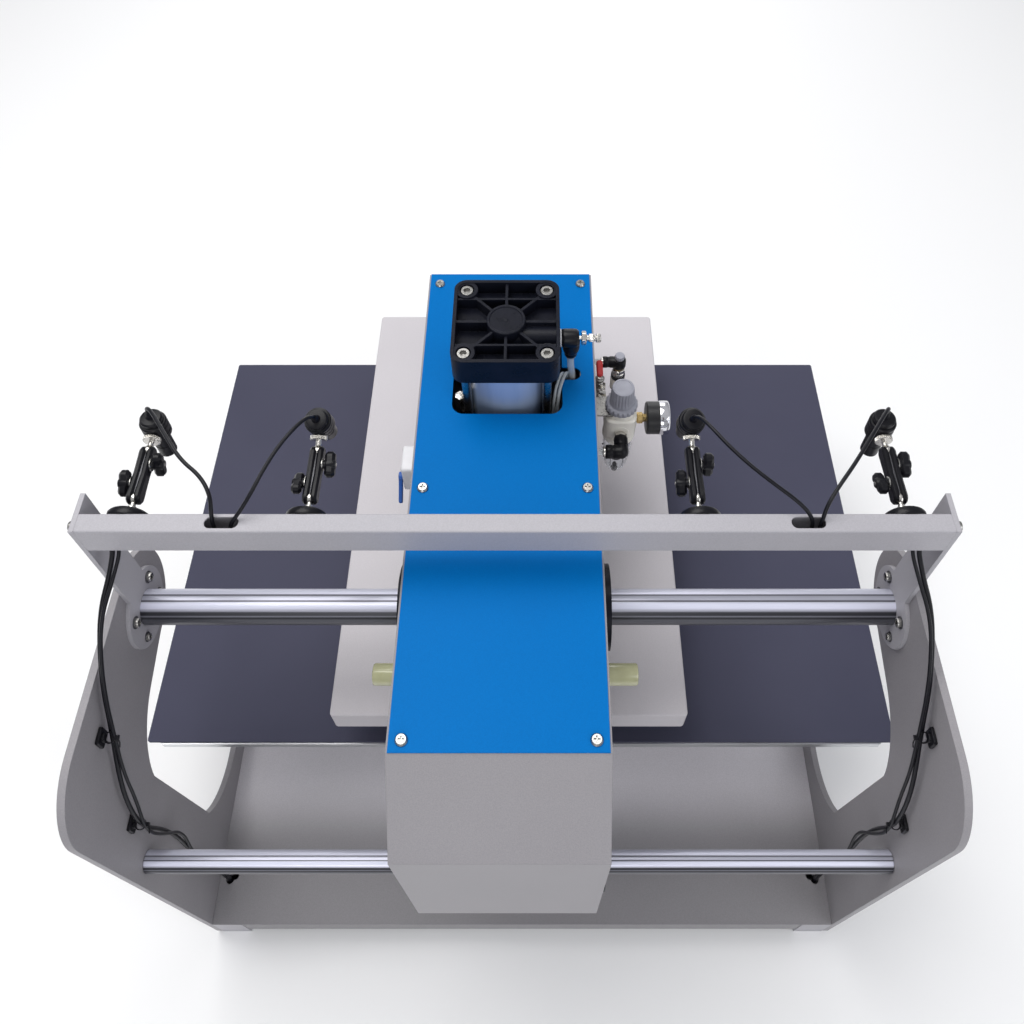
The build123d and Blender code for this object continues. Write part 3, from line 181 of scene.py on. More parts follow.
# painted reflections on the chromed rail: light and dark bands by the angle round the bar, and a pale bluish
# colour that is partly a painted reflection
RAIL_PAINTED_REFLECTIONS = [(-180, 0.10), (-85, 0.35), (-62, 0.60), (-21, 0.72), (-18, 0.12), (-15, 0.12), (-11, 0.44),
              (1, 0.52), (4, 0.11), (7, 0.11), (10, 0.80), (16, 1.0), (28, 0.97), (34, 0.58), (38, 0.36),
              (41, 0.06), (49, 0.045), (53, 0.10), (56, 0.30), (59, 0.045), (64, 0.045), (69, 0.10),
              (104, 0.11), (150, 0.10)]
CHROME = surface("chromed_rail", (0.86, 0.87, 1.0), (0.82, 0.83, 0.97), rough=(0.26, 0.32), metal=0.35,
                 patch=30, grain=300, bump=0.01, stretch=(1, 40, 40), bevel=0.0005, shine=0.3,
                 painted_reflections=RAIL_PAINTED_REFLECTIONS)
CHROME_UPRIGHT = surface("chromed_rod", (0.80, 0.80, 0.83), (0.72, 0.72, 0.76), rough=(0.08, 0.16), metal=1.0,
                         patch=30, grain=300, bump=0.01, stretch=(40, 40, 1), bevel=0.0005)
ZINC = surface("zinc", (0.46, 0.45, 0.43), (0.34, 0.335, 0.32), rough=(0.20, 0.36), metal=1.0, patch=160,
               grain=1800, bump=0.08, bevel=0.0004)
NICKEL = surface("nickel", (0.72, 0.70, 0.66), (0.62, 0.60, 0.57), rough=(0.15, 0.28), metal=1.0, patch=120,
                 grain=2000, bump=0.05, bevel=0.0004)
BRASS = surface("brass", (0.75, 0.55, 0.24), (0.62, 0.44, 0.18), rough=(0.2, 0.35), metal=1.0, patch=150,
                grain=2000, bump=0.05, bevel=0.0004)
DARK_STEEL = surface("dark_steel", (0.14, 0.14, 0.15), (0.09, 0.09, 0.10), rough=(0.35, 0.5), metal=0.8,
                     patch=40, grain=1200, bump=0.15)
BLACK_PAINT = surface("black_paint", (0.016, 0.016, 0.018), (0.010, 0.010, 0.012), rough=(0.28, 0.42),
                      patch=40, grain=1000)
CAST_BLACK = surface("cast_black", (0.009, 0.010, 0.018), (0.006, 0.007, 0.012), rough=(0.22, 0.36),
                     patch=60, grain=1400, bump=0.35, bevel=0.0009, shine=0.16)
MAT = surface("silicone_mat", (0.064, 0.065, 0.102), (0.054, 0.055, 0.090), rough=(0.62, 0.78), patch=5,
              grain=1300, bump=0.3, speckle=0.10, bevel=0.0005, shine=0.25)
ALUMINIUM = surface("machined_aluminium", (0.74, 0.75, 0.77), (0.66, 0.67, 0.69), rough=(0.28, 0.4),
                    metal=1.0, patch=12, grain=500, bump=0.06, stretch=(1, 12, 1), bevel=0.0006)
# painted reflections on the cylinder barrel: bright where it faces -Y and dark at its sides; its light blue
# colour is partly the anodised tone and partly a painted reflection
BARREL_PAINTED_REFLECTIONS = [(-180, 0.5), (-66, 0.06), (-50, 0.20), (-42, 1.0), (40, 1.0), (48, 0.22), (64, 0.06),
                (100, 0.4)]
BARREL = surface("anodised_barrel", (0.42, 0.53, 0.74), (0.34, 0.46, 0.68), rough=(0.30, 0.40), metal=0.1,
                 patch=10, grain=400, bump=0.04, stretch=(8, 8, 0.6), bevel=0.0005, painted_reflections=BARREL_PAINTED_REFLECTIONS,
                 reflections_from=("X", "-Y"))
BOARD = surface("insulation_board", (0.55, 0.50, 0.41), (0.46, 0.42, 0.34), rough=(0.8, 0.9), patch=60,
                grain=700, bump=0.5, speckle=0.12)
URETHANE = surface("polyurethane", (0.60, 0.60, 0.36), (0.50, 0.50, 0.29), rough=(0.10, 0.18), patch=60,
                   grain=600, bump=0.05, clear=0.25, coat=0.8, bevel=0.0012)
BLACK = surface("black_plastic", (0.006, 0.006, 0.009), (0.004, 0.004, 0.006), rough=(0.24, 0.38),
                        patch=90, grain=1500, bump=0.2, bevel=0.0006, shine=0.28)
CORD = surface("cord_sheath", (0.006, 0.006, 0.010), (0.004, 0.004, 0.007), rough=(0.30, 0.42), patch=150,
               grain=2200, bump=0.15, bevel=0.0002, shine=0.3)
CREAM = surface("cream_body", (0.92, 0.89, 0.81), (0.86, 0.83, 0.76), rough=(0.32, 0.42), patch=50,
                grain=1100, bump=0.15)
GREY = surface("grey_knob", (0.34, 0.345, 0.40), (0.29, 0.295, 0.345), patch=80, grain=1500,
                       bump=0.15, bevel=0.0005)
WHITE = surface("white_block", (0.74, 0.74, 0.77), (0.68, 0.68, 0.71), rough=(0.3, 0.4), patch=60,
                        grain=1300)
RED = surface("red_sleeve", (0.52, 0.030, 0.030), (0.42, 0.020, 0.022), rough=(0.28, 0.4), patch=90,
              grain=1300, bump=0.12, bevel=0.0006)
BLUE_PLASTIC = surface("blue_lever", (0.012, 0.09, 0.38), (0.009, 0.07, 0.30), rough=(0.3, 0.4), patch=90,
                       grain=1300, bevel=0.0006)
GREEN = surface("green_button", (0.012, 0.26, 0.06), (0.009, 0.20, 0.05), rough=(0.28, 0.38), patch=90,
                grain=1300, bump=0.08, bevel=0.0006)
TUBE = surface("clear_tube", (0.80, 0.84, 0.86), (0.72, 0.77, 0.80), rough=(0.15, 0.25), patch=90,
               bump=0.03, clear=0.55, bevel=0.0002)
BOWL = surface("clear_bowl", (0.97, 0.98, 0.99), (0.95, 0.97, 0.98), rough=(0.02, 0.05), patch=60,
               grain=600, bump=0.02, clear=1.0, ior=1.18, bevel=0.0002)
LENS = surface("lamp_lens", (0.45, 0.05, 0.04), (0.30, 0.03, 0.03), rough=(0.05, 0.1), patch=200,
               bump=0.02, coat=1.0, bevel=0.0002)
DIAL = surface("gauge_dial", (0.80, 0.80, 0.78), (0.74, 0.74, 0.72), patch=90, grain=1500, bump=0.05,
               bevel=0.0001)
PANEL = surface("panel_overlay", (0.030, 0.032, 0.036), (0.022, 0.024, 0.027), rough=(0.3, 0.4), patch=50,
                grain=1500, bump=0.08, bevel=0.0002)
DIGITS = surface("display_digits", (0.6, 0.05, 0.03), (0.5, 0.04, 0.02), patch=200, grain=1500, bump=0.01,
                 glow=(1.0, 0.08, 0.03, 1.5), bevel=0.0001)

FINISHES = {
    "beige_powder_coat": POWDER,
    "blue_coat": BLUE,
    "chromed_rail": CHROME,
    "zinc": ZINC,
    "dark_steel": DARK_STEEL,
    "black_flange": CAST_BLACK,
    "silicone_mat": MAT,
    "machined_aluminium": ALUMINIUM,
    "anodised_barrel": BARREL,
    "insulation": BOARD,
    "polyurethane": URETHANE,
    "cap_black": CAST_BLACK,
    "black_plastic": BLACK,
    "nickel": NICKEL,
    "clear_tube": TUBE,
    "cream_body": CREAM,
    "grey_knob": GREY,
    "clear_bowl": BOWL,
    "needle_black": BLACK,
    "red_lever": RED,
    "white_block": WHITE,
    "blue_lever": BLUE_PLASTIC,
    "green_button": GREEN,
    "lamp_black": BLACK,
    "cord_black": CORD,
}
for entry in frame["record"]["subparts"]:
    node = NODES[entry["node"]]
    node.data.materials.clear()
    node.data.materials.append(FINISHES[entry["material_slot"]])
NODES["platen_cover"].data.materials[0] = COVER_COAT
NODES["floor_panel"].data.materials[0] = PANEL_COAT
# painted shade: these parts get the darker copy of the beige powder coat
for name in ("side_plate_left", "side_plate_right", "head_housing"):
    NODES[name].data.materials[0] = POWDER_PAINTED_SHADE
NODES["guide_rods"].data.materials[0] = CHROME_UPRIGHT
NODES["piston_rod"].data.materials[0] = CHROME_UPRIGHT


# ---- mesh building ------------------------------------------------------------------------
AXES = {
    "X": ((0, 1, 0), (0, 0, 1), (1, 0, 0)),
    "-X": ((0, -1, 0), (0, 0, 1), (-1, 0, 0)),
    "Y": ((-1, 0, 0), (0, 0, 1), (0, 1, 0)),
    "-Y": ((1, 0, 0), (0, 0, 1), (0, -1, 0)),
    "Z": ((1, 0, 0), (0, 1, 0), (0, 0, 1)),
    "-Z": ((1, 0, 0), (0, -1, 0), (0, 0, -1)),
}


def pose(at, axis="Z"):
    """Matrix that puts local Z along an axis of the row, with local Y up if the axis is level."""
    turned = Matrix([Vector(v) for v in AXES[axis]]).transposed().to_4x4()
    return Matrix.Translation(Vector(at)) @ turned


def hexagon(flat):
    """Radius of a hexagon by angle, from half its size across flats."""
    return lambda t: flat / math.cos((t + math.pi / 6) % (math.pi / 3) - math.pi / 6)


def fluted(radius, count, depth):
    """Radius of a round grip with rounded grooves."""
    return lambda t: radius - depth * (0.5 + 0.5 * math.cos(count * t)) ** 3


def knurled(radius, count, depth):
    """Radius of a knurled ring."""
    return lambda t: radius - depth * abs((count * t / TAU) % 1 * 2 - 1)


def rounded(width, height, radius, steps=5):
    """Outline of a rounded rectangle about the origin."""
    points = []
    for sx, sy, start in ((1, 1, 0), (-1, 1, 90), (-1, -1, 180), (1, -1, 270)):
        cx, cy = sx * (width / 2 - radius), sy * (height / 2 - radius)
        for i in range(steps + 1):
            t = math.radians(start + 90 * i / steps)
            points.append((cx + radius * math.cos(t), cy + radius * math.sin(t)))
    return points


def lobes(ends, waist, steps=10):
    """Outline round two circles, each (x, y, r), narrowed to a share of their size between them."""
    (xa, ya, ra), (xb, yb, rb) = ends
    lean = math.atan2(yb - ya, xb - xa)
    points = []
    for x, y, r, start in ((xb, yb, rb, lean - math.pi / 2), (xa, ya, ra, lean + math.pi / 2)):
        for i in range(steps + 1):
            t = start + math.pi * i / steps
            points.append((x + r * math.cos(t), y + r * math.sin(t)))
        side = start + math.pi
        mean = (ra + rb) / 2 * waist
        points.append(((xa + xb) / 2 + mean * math.cos(side), (ya + yb) / 2 + mean * math.sin(side)))
    return points


SHARP_ANGLE = math.radians(34)


class Piece:
    """Gathers the faces of one visible piece, in millimetres, then makes it an object."""

    def __init__(self, name):
        self.name = name
        self.verts, self.faces, self.slots, self.finishes = [], [], [], []

    def add(self, verts, faces, finish, where=None):
        """Adds faces of one finish, moved by a matrix."""
        if finish not in self.finishes:
            self.finishes.append(finish)
        base = len(self.verts)
        self.verts += [where @ Vector(v) if where else Vector(v) for v in verts]
        self.faces += [[base + i for i in face] for face in faces]
        self.slots += [self.finishes.index(finish)] * len(faces)

    def lathe(self, profile, finish, where, steps=40):
        """Turns (radius, height) pairs about local Z; a radius may be a function of the angle."""
        rings, verts, faces = [], [], []
        for radius, height in profile:
            if radius == 0:
                rings.append([len(verts)])
                verts.append((0, 0, height))
                continue
            ring = []
            for i in range(steps):
                t = TAU * i / steps
                r = radius(t) if callable(radius) else radius
                ring.append(len(verts))
                verts.append((r * math.cos(t), r * math.sin(t), height))
            rings.append(ring)
        for ring, after in zip(rings, rings[1:]):
            for i in range(steps):
                j = (i + 1) % steps
                if len(ring) == 1:
                    faces.append((ring[0], after[j], after[i]))
                elif len(after) == 1:
                    faces.append((ring[i], ring[j], after[0]))
                else:
                    faces.append((ring[i], ring[j], after[j], after[i]))
        self.add(verts, faces, finish, where)

    def slab(self, outline, start, end, finish, where, bevel):
        """A flat piece from an outline, between two levels of local Z, with its edges chamfered."""
        count = len(outline)
        inner = []
        for i in range(count):
            a, p, b = (Vector(outline[k % count]) for k in (i - 1, i, i + 1))
            along = (b - a).normalized()
            inner.append(p + Vector((-along.y, along.x)) * bevel)
        rings = [(inner, start), (outline, start + bevel), (outline, end - bevel), (inner, end)]
        verts = [(p[0], p[1], h) for points, h in rings for p in points]
        faces = [list(range(count))[::-1], list(range(3 * count, 4 * count))]
        for k in range(3):
            for i in range(count):
                j = (i + 1) % count
                faces.append((k * count + i, k * count + j, (k + 1) * count + j, (k + 1) * count + i))
        self.add(verts, faces, finish, where)

    def tube(self, points, radius, finish, steps=10):
        """A round tube through points close enough together to look smooth."""
        points = [Vector(p) for p in points]
        verts, faces = [], []
        side = None
        for i, p in enumerate(points):
            along = (points[min(i + 1, len(points) - 1)] - points[max(i - 1, 0)]).normalized()
            if side is None:
                side = along.orthogonal().normalized()
            side = (side - along * side.dot(along)).normalized()
            up = along.cross(side)
            for k in range(steps):
                t = TAU * k / steps
                verts.append(p + (side * math.cos(t) + up * math.sin(t)) * radius)
        for i in range(len(points) - 1):
            for k in range(steps):
                j = (k + 1) % steps
                faces.append((i * steps + k, i * steps + j, (i + 1) * steps + j, (i + 1) * steps + k))
        faces.append(list(range(steps))[::-1])
        faces.append(list(range(len(verts) - steps, len(verts))))
        self.add(verts, faces, finish)

    def done(self, body=None, stands_for=(), slot=None):
        """Makes the object, smooth but for its sharp edges, and gives it to its body."""
        mesh = bpy.data.meshes.new(self.name)
        mesh.from_pydata([v * MM for v in self.verts], [], self.faces)
        for finish in self.finishes:
            mesh.materials.append(finish)
        mesh.polygons.foreach_set("material_index", self.slots)
        work = bmesh.new()
        work.from_mesh(mesh)
        bmesh.ops.recalc_face_normals(work, faces=work.faces)
        work.to_mesh(mesh)
        work.free()
        mesh.shade_smooth()
        mesh.set_sharp_from_angle(angle=SHARP_ANGLE)
        made = bpy.data.objects.new(self.name, mesh)
        bpy.context.scene.collection.objects.link(made)
        if body:
            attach(made, body)
        if stands_for:
            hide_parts(*stands_for)
        return made


def cord_line(name, route):
    """Points along a cord: those of a spline that has the route's points as its control points."""
    curve = bpy.data.curves.new(name, "CURVE")
    curve.dimensions = "3D"
    spline = curve.splines.new("NURBS")
    spline.points.add(len(route) - 1)
    for control, place in zip(spline.points, route):
        control.co = (*(Vector(place) * MM), 1)
    spline.order_u = 3
    spline.use_endpoint_u = True
    spline.resolution_u = 8
    holder = bpy.data.objects.new(name, curve)
    bpy.context.scene.collection.objects.link(holder)
    bpy.context.view_layer.update()
    line = [Vector(v.co) / MM for v in bpy.data.meshes.new_from_object(holder).vertices]
    bpy.data.objects.remove(holder)
    return line


def smooth_path(points, steps=10):
    """Points along a smooth curve through a route."""
    points = [Vector(p) for p in points]
    padded = [2 * points[0] - points[1], *points, 2 * points[-1] - points[-2]]
    path = []
    for a, b, c, d in zip(padded, padded[1:], padded[2:], padded[3:]):
        for i in range(steps):
            t = i / steps
            path.append(0.5 * (2 * b + (c - a) * t + (2 * a - 5 * b + 4 * c - d) * t * t
                               + (3 * b - a - 3 * c + d) * t**3))
    return path + [points[-1]]


def nut(piece, at, axis, flat, height, stud, proud):
    """A zinc nut with its corners turned off, flat from side to middle, and its stud's end."""
    corner = flat / math.cos(math.pi / 6)
    turned = flat * 0.97
    six = hexagon(flat)
    profile = [(turned, 0), (lambda t: min(six(t), corner), 0.4), (six, height - corner * 0.16)]
    profile += [(lambda t: min(six(t), flat), height), (stud + 0.6, height), (stud + 0.5, height - 0.4)]
    profile += [(stud, height - 0.4), (stud, height + proud - 0.6), (stud - 0.6, height + proud)]
    profile += [(0, height + proud)]
    piece.lathe(profile, ZINC, pose(at, axis), steps=48)


def cap_screw(piece, at, axis, radius, height):
    """A zinc screw with a knurled round head and a hexagon socket."""
    ridged = knurled(radius, 36, 0.25)
    socket = hexagon(radius * 0.46)
    piece.lathe([(radius * 0.96, 0), (ridged, 0.4), (ridged, height - 1.2), (radius * 0.9, height - 0.2),
                 (radius * 0.84, height), (radius * 0.6, height), (socket, height - 0.3),
                 (socket, height * 0.35), (0, height * 0.25)], ZINC, pose(at, axis), steps=72)


# ---- positioning lamps --------------------------------------------------------------------
BEAM_FACE, ARM_Z = high("lamp_beam").y, middle("lamp_beam").z
LOWER_BALL_Y, BALL_Y, LAMP_Y = BEAM_FACE + 27, BEAM_FACE + 83, BEAM_FACE + 113
ARM_HALF = 7.2

# each lamp's lean, in degrees, and which way its arm's knobs are turned
LAMPS = {"outer_left": (0, 1), "inner_left": (22, 0), "inner_right": (22, 1), "outer_right": (0, 0)}


def on_ball(name):
    """Frame of a lamp: its origin is the upper ball of its arm, and it leans as the lamp does."""
    lean = math.radians(LAMPS[name][0])
    return Matrix.Translation((middle(f"lamp_{name}").x, BALL_Y, ARM_Z)) @ Matrix.Rotation(lean, 4, "X")


for name, (_, turn) in LAMPS.items():
    x = middle(f"lamp_{name}").x
    ball = on_ball(name)
    lamp = Piece(f"lamp_{name}_body")
    level = ball @ pose((0, 0, 0), "Y")
    lamp.lathe([(0, -6.3), (3.5, -5.2), (5.8, -2.5), (6.4, 0), (5.8, 2.6), (4.2, 4.8), (2.9, 5.8),
                (2.9, 11.5), (3.8, 12)], NICKEL, level)
    ring = knurled(9, 60, 0.7)
    lamp.lathe([(3, 11.6), (7.6, 11.6), (ring, 12.2), (ring, 15.6), (7.6, 16.2), (5, 16.2), (5, 22)], NICKEL,
               level, steps=120)
    upright = ball @ Matrix.Translation((0, LAMP_Y - BALL_Y, 0))
    lamp.lathe([(7.2, -43.5), (8.6, -44), (9.5, -43), (9.5, -27), (9.1, -26.6), (9.1, -25), (9.5, -24.6),
                (9.5, -11), (12.8, -10), (14, -9), (14, -4), (13.5, -3.6), (13.5, -2.4), (14, -2), (14, 5),
                (13.5, 5.4), (13.5, 6.6), (14, 7), (14, 10.5), (12.8, 12), (11.6, 12.2), (11.6, 17),
                (10.2, 18.6), (8, 19), (0, 19)], BLACK, upright)
    lamp.lathe([(0, -41), (5.8, -41.4), (6.6, -42.4), (7.3, -43.8)], LENS, upright)
    lamp.lathe([(6.6, -42.2), (6.8, -43.9), (7.5, -44.1), (7.8, -43)], BRASS, upright)
    lamp.lathe([(4.4, 18.8), (4.2, 20.5), (3.2, 22.5), (2.9, 27), (2.3, 28), (2.05, 28)], CORD, upright,
               steps=24)
    cap_screw(lamp, upright @ Vector((0, 13.4, 1)), "Y", 2.4, 1.6)
    lamp.done(f"lamp_{name}", [f"lamp_{name}"], "lamp_black")

    clamp = Piece(f"clamp_{name}")
    jaw = lobes([(LOWER_BALL_Y + 2, ARM_Z, 7.6), (BALL_Y - 3, ARM_Z, 7.6)], 0.8)
    core = lobes([(LOWER_BALL_Y + 6, ARM_Z, 5), (BALL_Y - 7, ARM_Z, 5)], 0.9)
    sideways = pose((x, 0, 0), "X")
    clamp.slab(jaw, 0.5, ARM_HALF, BLACK, sideways, bevel=2)
    clamp.slab(jaw, -ARM_HALF, -0.5, BLACK, sideways, bevel=2)
    clamp.slab(core, -0.7, 0.7, DARK_STEEL, sideways, bevel=0.2)
    for way, y in ((-1, LOWER_BALL_Y + 18), (1, BALL_Y - 16)):
        side = pose((x + way * ARM_HALF, y, ARM_Z), "X" if way > 0 else "-X")
        clamp.lathe([(7, -0.5), (7, 0.4), (6.2, 1), (0, 1)], ZINC, side, steps=30)
        clamp.lathe([(4.8, 0.8), (4.6, 3), (5.6, 4), (5.8, 11), (4.6, 13), (0, 13.4)], BLACK, side, steps=30)
        tilt = side @ Matrix.Rotation(math.radians(20 + 50 * turn * way), 4, "Z")
        clamp.slab(lobes([(-7.8, 0, 5.8), (7.8, 0, 5.8)], 0.84), 2.2, 12.6, BLACK, tilt, bevel=2.6)
        clamp.lathe([(1.6, 13.2), (1.6, 13.8), (0, 13.8)], ZINC, side, steps=18)
    clamp.done("frame", slot="black_plastic")

    base = Piece(f"magnet_{name}")
    forward = pose((x, BEAM_FACE, ARM_Z), "Y")
    base.lathe([(0, 0.2), (18.5, 0.2), (18.5, 0), (20.6, 0), (21, 0.6), (21, 6.8), (20, 8.3), (18, 9),
                (11, 9.4), (10, 10), (9, 12.6), (6.8, 14.4), (3.4, 15)], BLACK, forward, steps=60)
    base.lathe([(5.2, 14.4), (5.2, 16.8), (4.6, 17.4), (2.9, 17.4), (2.9, 22), (5.5, 24.6), (6.3, 27.5),
                (5.5, 30), (0, 33)], NICKEL, forward, steps=36)
    base.done("frame", slot="zinc")
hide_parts("lamp_clamps", "clamp_knobs")
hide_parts("lamp_bases")

# each lead's own length, and the places it passes from its lamp's cap to the slot in the beam
LEADS = {
    "outer_left": (0.209, [
        (-379, -33, 774), (-367, -44, 784), (-346, -73, 786), (-325, -101, 783), (-303, -117, 779),
        (-291, -135, 773), (-290, -151, 761), (-291, -155, 744), (-291, -155, 728)]),
    "inner_left": (0.1825, [
        (-206, -47, 780), (-214, -62, 789), (-229, -87, 789), (-241, -112, 785), (-250, -134, 779),
        (-260, -148, 769), (-270, -154, 757), (-276, -155, 744), (-279, -155, 728)]),
    "inner_right": (0.203, [
        (182, -47, 781), (192, -65, 788), (207, -87, 787), (227, -109, 784), (248, -127, 780),
        (268, -141, 774), (281, -150, 765), (287, -154, 750), (288, -155, 728)]),
    "outer_right": (0.2076, [
        (381, -33, 774), (372, -45, 784), (350, -76, 786), (328, -106, 783), (309, -129, 779),
        (297, -145, 772), (294, -153, 758), (294, -155, 743), (295, -155, 728)]),
}
LEAD_D = 4
CAP_EXIT = Vector((0, LAMP_Y - BALL_Y, 19.2))
for name, (length, route) in LEADS.items():
    line = cord_line(f"lead_line_{name}", [on_ball(name) @ CAP_EXIT, *route])
    lead = Piece(f"lead_{name}")
    lead.tube(line, LEAD_D / 2, CORD, steps=12)
    made = lead.done(slot="cord_black", stands_for=[f"lamp_cord_{name}"])
    Vector(route[0]) * MM
    Vector(route[5]) * MM
    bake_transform(made)

# radius and route of each cable that comes out under an end of the beam and is tied to the side plate
CABLES = {
    2.5: [(397, -155, 744), (397, -156, 716), (405, -176, 690), (416, -204, 664), (418, -237, 634),
          (418, -265, 601), (415, -292, 565), (416, -326, 512), (415, -345, 468), (414, -352, 420),
          (412, -343, 372), (411, -340, 318), (411, -344, 260), (411, -345, 200), (411, -343, 140),
          (411, -345, 84), (411, -345, 40)],
    1.9: [(391, -153, 740), (391, -155, 712), (400, -181, 690), (412, -212, 666), (413, -244, 640),
          (412, -274, 604), (410, -298, 566), (411, -320, 520), (410, -336, 470), (409, -357, 424),
          (407, -350, 374), (406, -334, 318), (406, -348, 262), (406, -350, 200), (406, -336, 140),
          (406, -348, 84), (411, -341, 58)],
}
cables = Piece("side_cable_runs")
for radius, route in CABLES.items():
    for way in (-1, 1):
        line = cord_line(f"cable_line_{radius}_{way}", [(way * x, y, z) for x, y, z in route])
        cables.tube(line, radius, CORD, steps=12)
cables.done("frame", ["side_cables"], "cord_black")

# ---- sliding head -------------------------------------------------------------------------
HX = middle("head_housing").x
WALL = high("head_housing").x - HX
PRESS_Y, CAP_TOP = middle("cylinder_cap").y, high("cylinder_cap").z
RAIL_Y, RAIL_Z = middle("main_rail").yz
REAR_Y, REAR_Z = middle("rear_rail").yz

plumbing = Piece("cylinder_plumbing")
NOTCH_X, NOTCH_Y = HX + 57, 36
SENSOR_WIRE = [(0, 36, 590), (0, 37, 640), (0.5, 41, 668), (3, 52, 688), (8, 66, 694), (12, 77, 686),
               (13, 81, 664), (13, 82, 620)]
for shift, radius in ((0, 1.9), (4.6, 1.7)):
    wire = smooth_path([(NOTCH_X - shift + x, y, z) for x, y, z in SENSOR_WIRE])
    plumbing.tube(wire, radius, TUBE, steps=14)
plumbing.tube([(NOTCH_X, NOTCH_Y, 560), (NOTCH_X, NOTCH_Y, 632)], 6, BLACK)
for start, end, flat in ((630, 642, 6.2), (642, 668, 4.6), (668, 680, 5.6)):
    step = hexagon(flat)
    plumbing.lathe([(flat * 0.9, start), (step, start + 0.6), (step, end - 0.6), (flat * 0.9, end), (0, end)],
                   NICKEL, pose((HX - 55, 50, 0)), steps=36)
plumbing.done("head")

cap_trim = Piece("cylinder_cap_trim")
lid = pose((HX, PRESS_Y, CAP_TOP))
cap_trim.lathe([(21.3, -0.6), (21.3, 0.5), (20.7, 1), (18.6, 1), (18, 0.5), (17.8, -0.4)], CAST_BLACK, lid,
               steps=72)
cap_trim.lathe([(2.6, -0.4), (2.4, 0.3), (1.6, 0.5), (0, 0.4)], CAST_BLACK, lid, steps=24)
TIE_ROD, SEAT_DEPTH = 45, 8
for x in (-TIE_ROD, TIE_ROD):
    for y in (-TIE_ROD, TIE_ROD):
        seat = pose((HX + x, PRESS_Y + y, CAP_TOP - SEAT_DEPTH))
        cap_trim.lathe([(7.5, 0.1), (8.1, 0.1), (8.1, 1), (7.6, 1.2), (7.5, 0.9)], ZINC, seat, steps=40)
cap_trim.done("head")

PORT_X = high("cylinder_cap").x
PORT_Y, PORT_Z = middle("flow_screw").yz
flow = Piece("flow_control_body")
across = pose((PORT_X, PORT_Y, PORT_Z), "X")
down = pose((PORT_X + 13, PORT_Y, PORT_Z), "-Z")
flow.lathe([(6, -8), (6, 0.2), (9.6, 0.2), (10.2, 0.5), (10.2, 1.7), (9.6, 2), (8, 2)], WHITE, across)
flow.lathe([(8.4, 2), (9.6, 2.2), (10.4, 3.4), (10.6, 6), (10.6, 17), (10, 19.4), (8.6, 20.6), (8.2, 21.4),
            (6, 21.4)], BLACK, across)
flow.lathe([(9.9, 0), (9.8, 12), (9.4, 18), (8.2, 21.5), (7.2, 22.6), (7.2, 27.6), (6.4, 29.4), (5.2, 30)],
           BLACK, down)
flow.lathe([(5.6, 29), (5.8, 31.4), (5.2, 32), (4.1, 32), (4, 28)], GREY, down)
flow.done("head", ["flow_control"], "black_plastic")

needle_screw = Piece("flow_screw_head")
lock_nut, collar, tip = hexagon(7.2), knurled(4.9, 30, 0.5), knurled(5.2, 30, 0.4)
needle_screw.lathe([(2.5, 15), (2.5, 24), (6.8, 24.2), (lock_nut, 24.8), (lock_nut, 28.6), (6.7, 29.4),
                    (4.4, 29.6), (3.4, 30.4), (3.4, 32), (4.2, 32.4), (collar, 33), (collar, 37), (4.1, 37.6),
                    (3.6, 38.4), (3.6, 40), (4.4, 40.4), (tip, 41), (tip, 44.4), (4.6, 45.4), (0, 45.6)],
                   NICKEL, across, steps=90)
needle_screw.slab(rounded(8.4, 1.2, 0.4), 45.3, 45.9, DARK_STEEL, across, bevel=0.1)
needle_screw.done("flow_screw", ["flow_screw"], "nickel")

# the regulator, its bowl and its fittings are turned about upright axes, with heights above the feet
REG_X, REG_Y = middle("filter_bowl").xy
PORTS_Z = 577
upright = pose((REG_X, REG_Y, 0))
regulator = Piece("regulator_casting")
regulator.slab(rounded(39, 39, 10, 8), 561, 598, CREAM, upright, bevel=2.4)
regulator.slab(rounded(33, 33, 12, 8), 555, 604, CREAM, upright, bevel=1.2)
for axis in ("X", "-X", "Y", "-Y"):
    boss = pose((REG_X, REG_Y, PORTS_Z), axis)
    regulator.lathe([(10.6, 16), (10.2, 19), (9.8, 20), (7.6, 20), (7.2, 18.5), (0, 18.5)], CREAM, boss)
bowl_ring, grip_ring = knurled(20.6, 40, 0.5), fluted(20, 20, 1.6)
regulator.lathe([(16, 548), (bowl_ring, 546), (bowl_ring, 554), (19.4, 556), (15, 557)], CREAM, upright,
                steps=160)
regulator.lathe([(16, 597), (18.4, 599), (18.4, 604), (17, 607)], CREAM, upright)
regulator.lathe([(14, 606.4), (18.6, 606.6), (grip_ring, 608), (grip_ring, 613), (18.4, 615), (15.6, 616),
                 (15, 617), (10, 617.2)], GREY, upright, steps=160)
regulator.slab([(-36, -14), (-2, -15), (6, -9), (6, 9), (-2, 15), (-36, 14)], 603.2, 606, ZINC, upright,
               bevel=0.3)
regulator.slab(rounded(30, 36, 3), 0, 3, ZINC, pose((HX + WALL, REG_Y, 588), "X"), bevel=0.4)
for z in (576, 591):
    cap_screw(regulator, (HX + WALL + 3, REG_Y - 9, z), "X", 3, 2.4)
regulator.done("head", ["regulator_body"], "cream_body")

knob = Piece("regulator_grip")
FLUTES = 22
knob.lathe([(6, 604), (6, 617.6), (15.2, 617.6), (15.2, 620), (fluted(15.2, FLUTES, 0.7), 622),
            (fluted(14.8, FLUTES, 1.3), 625), (fluted(14, FLUTES, 1.2), 641), (13.2, 644.2), (12, 645.2),
            (10.6, 645.4), (10.2, 644.8), (0, 644.8)], GREY, upright, steps=8 * FLUTES)
knob.done("regulator_knob", ["regulator_knob"], "grey_knob")

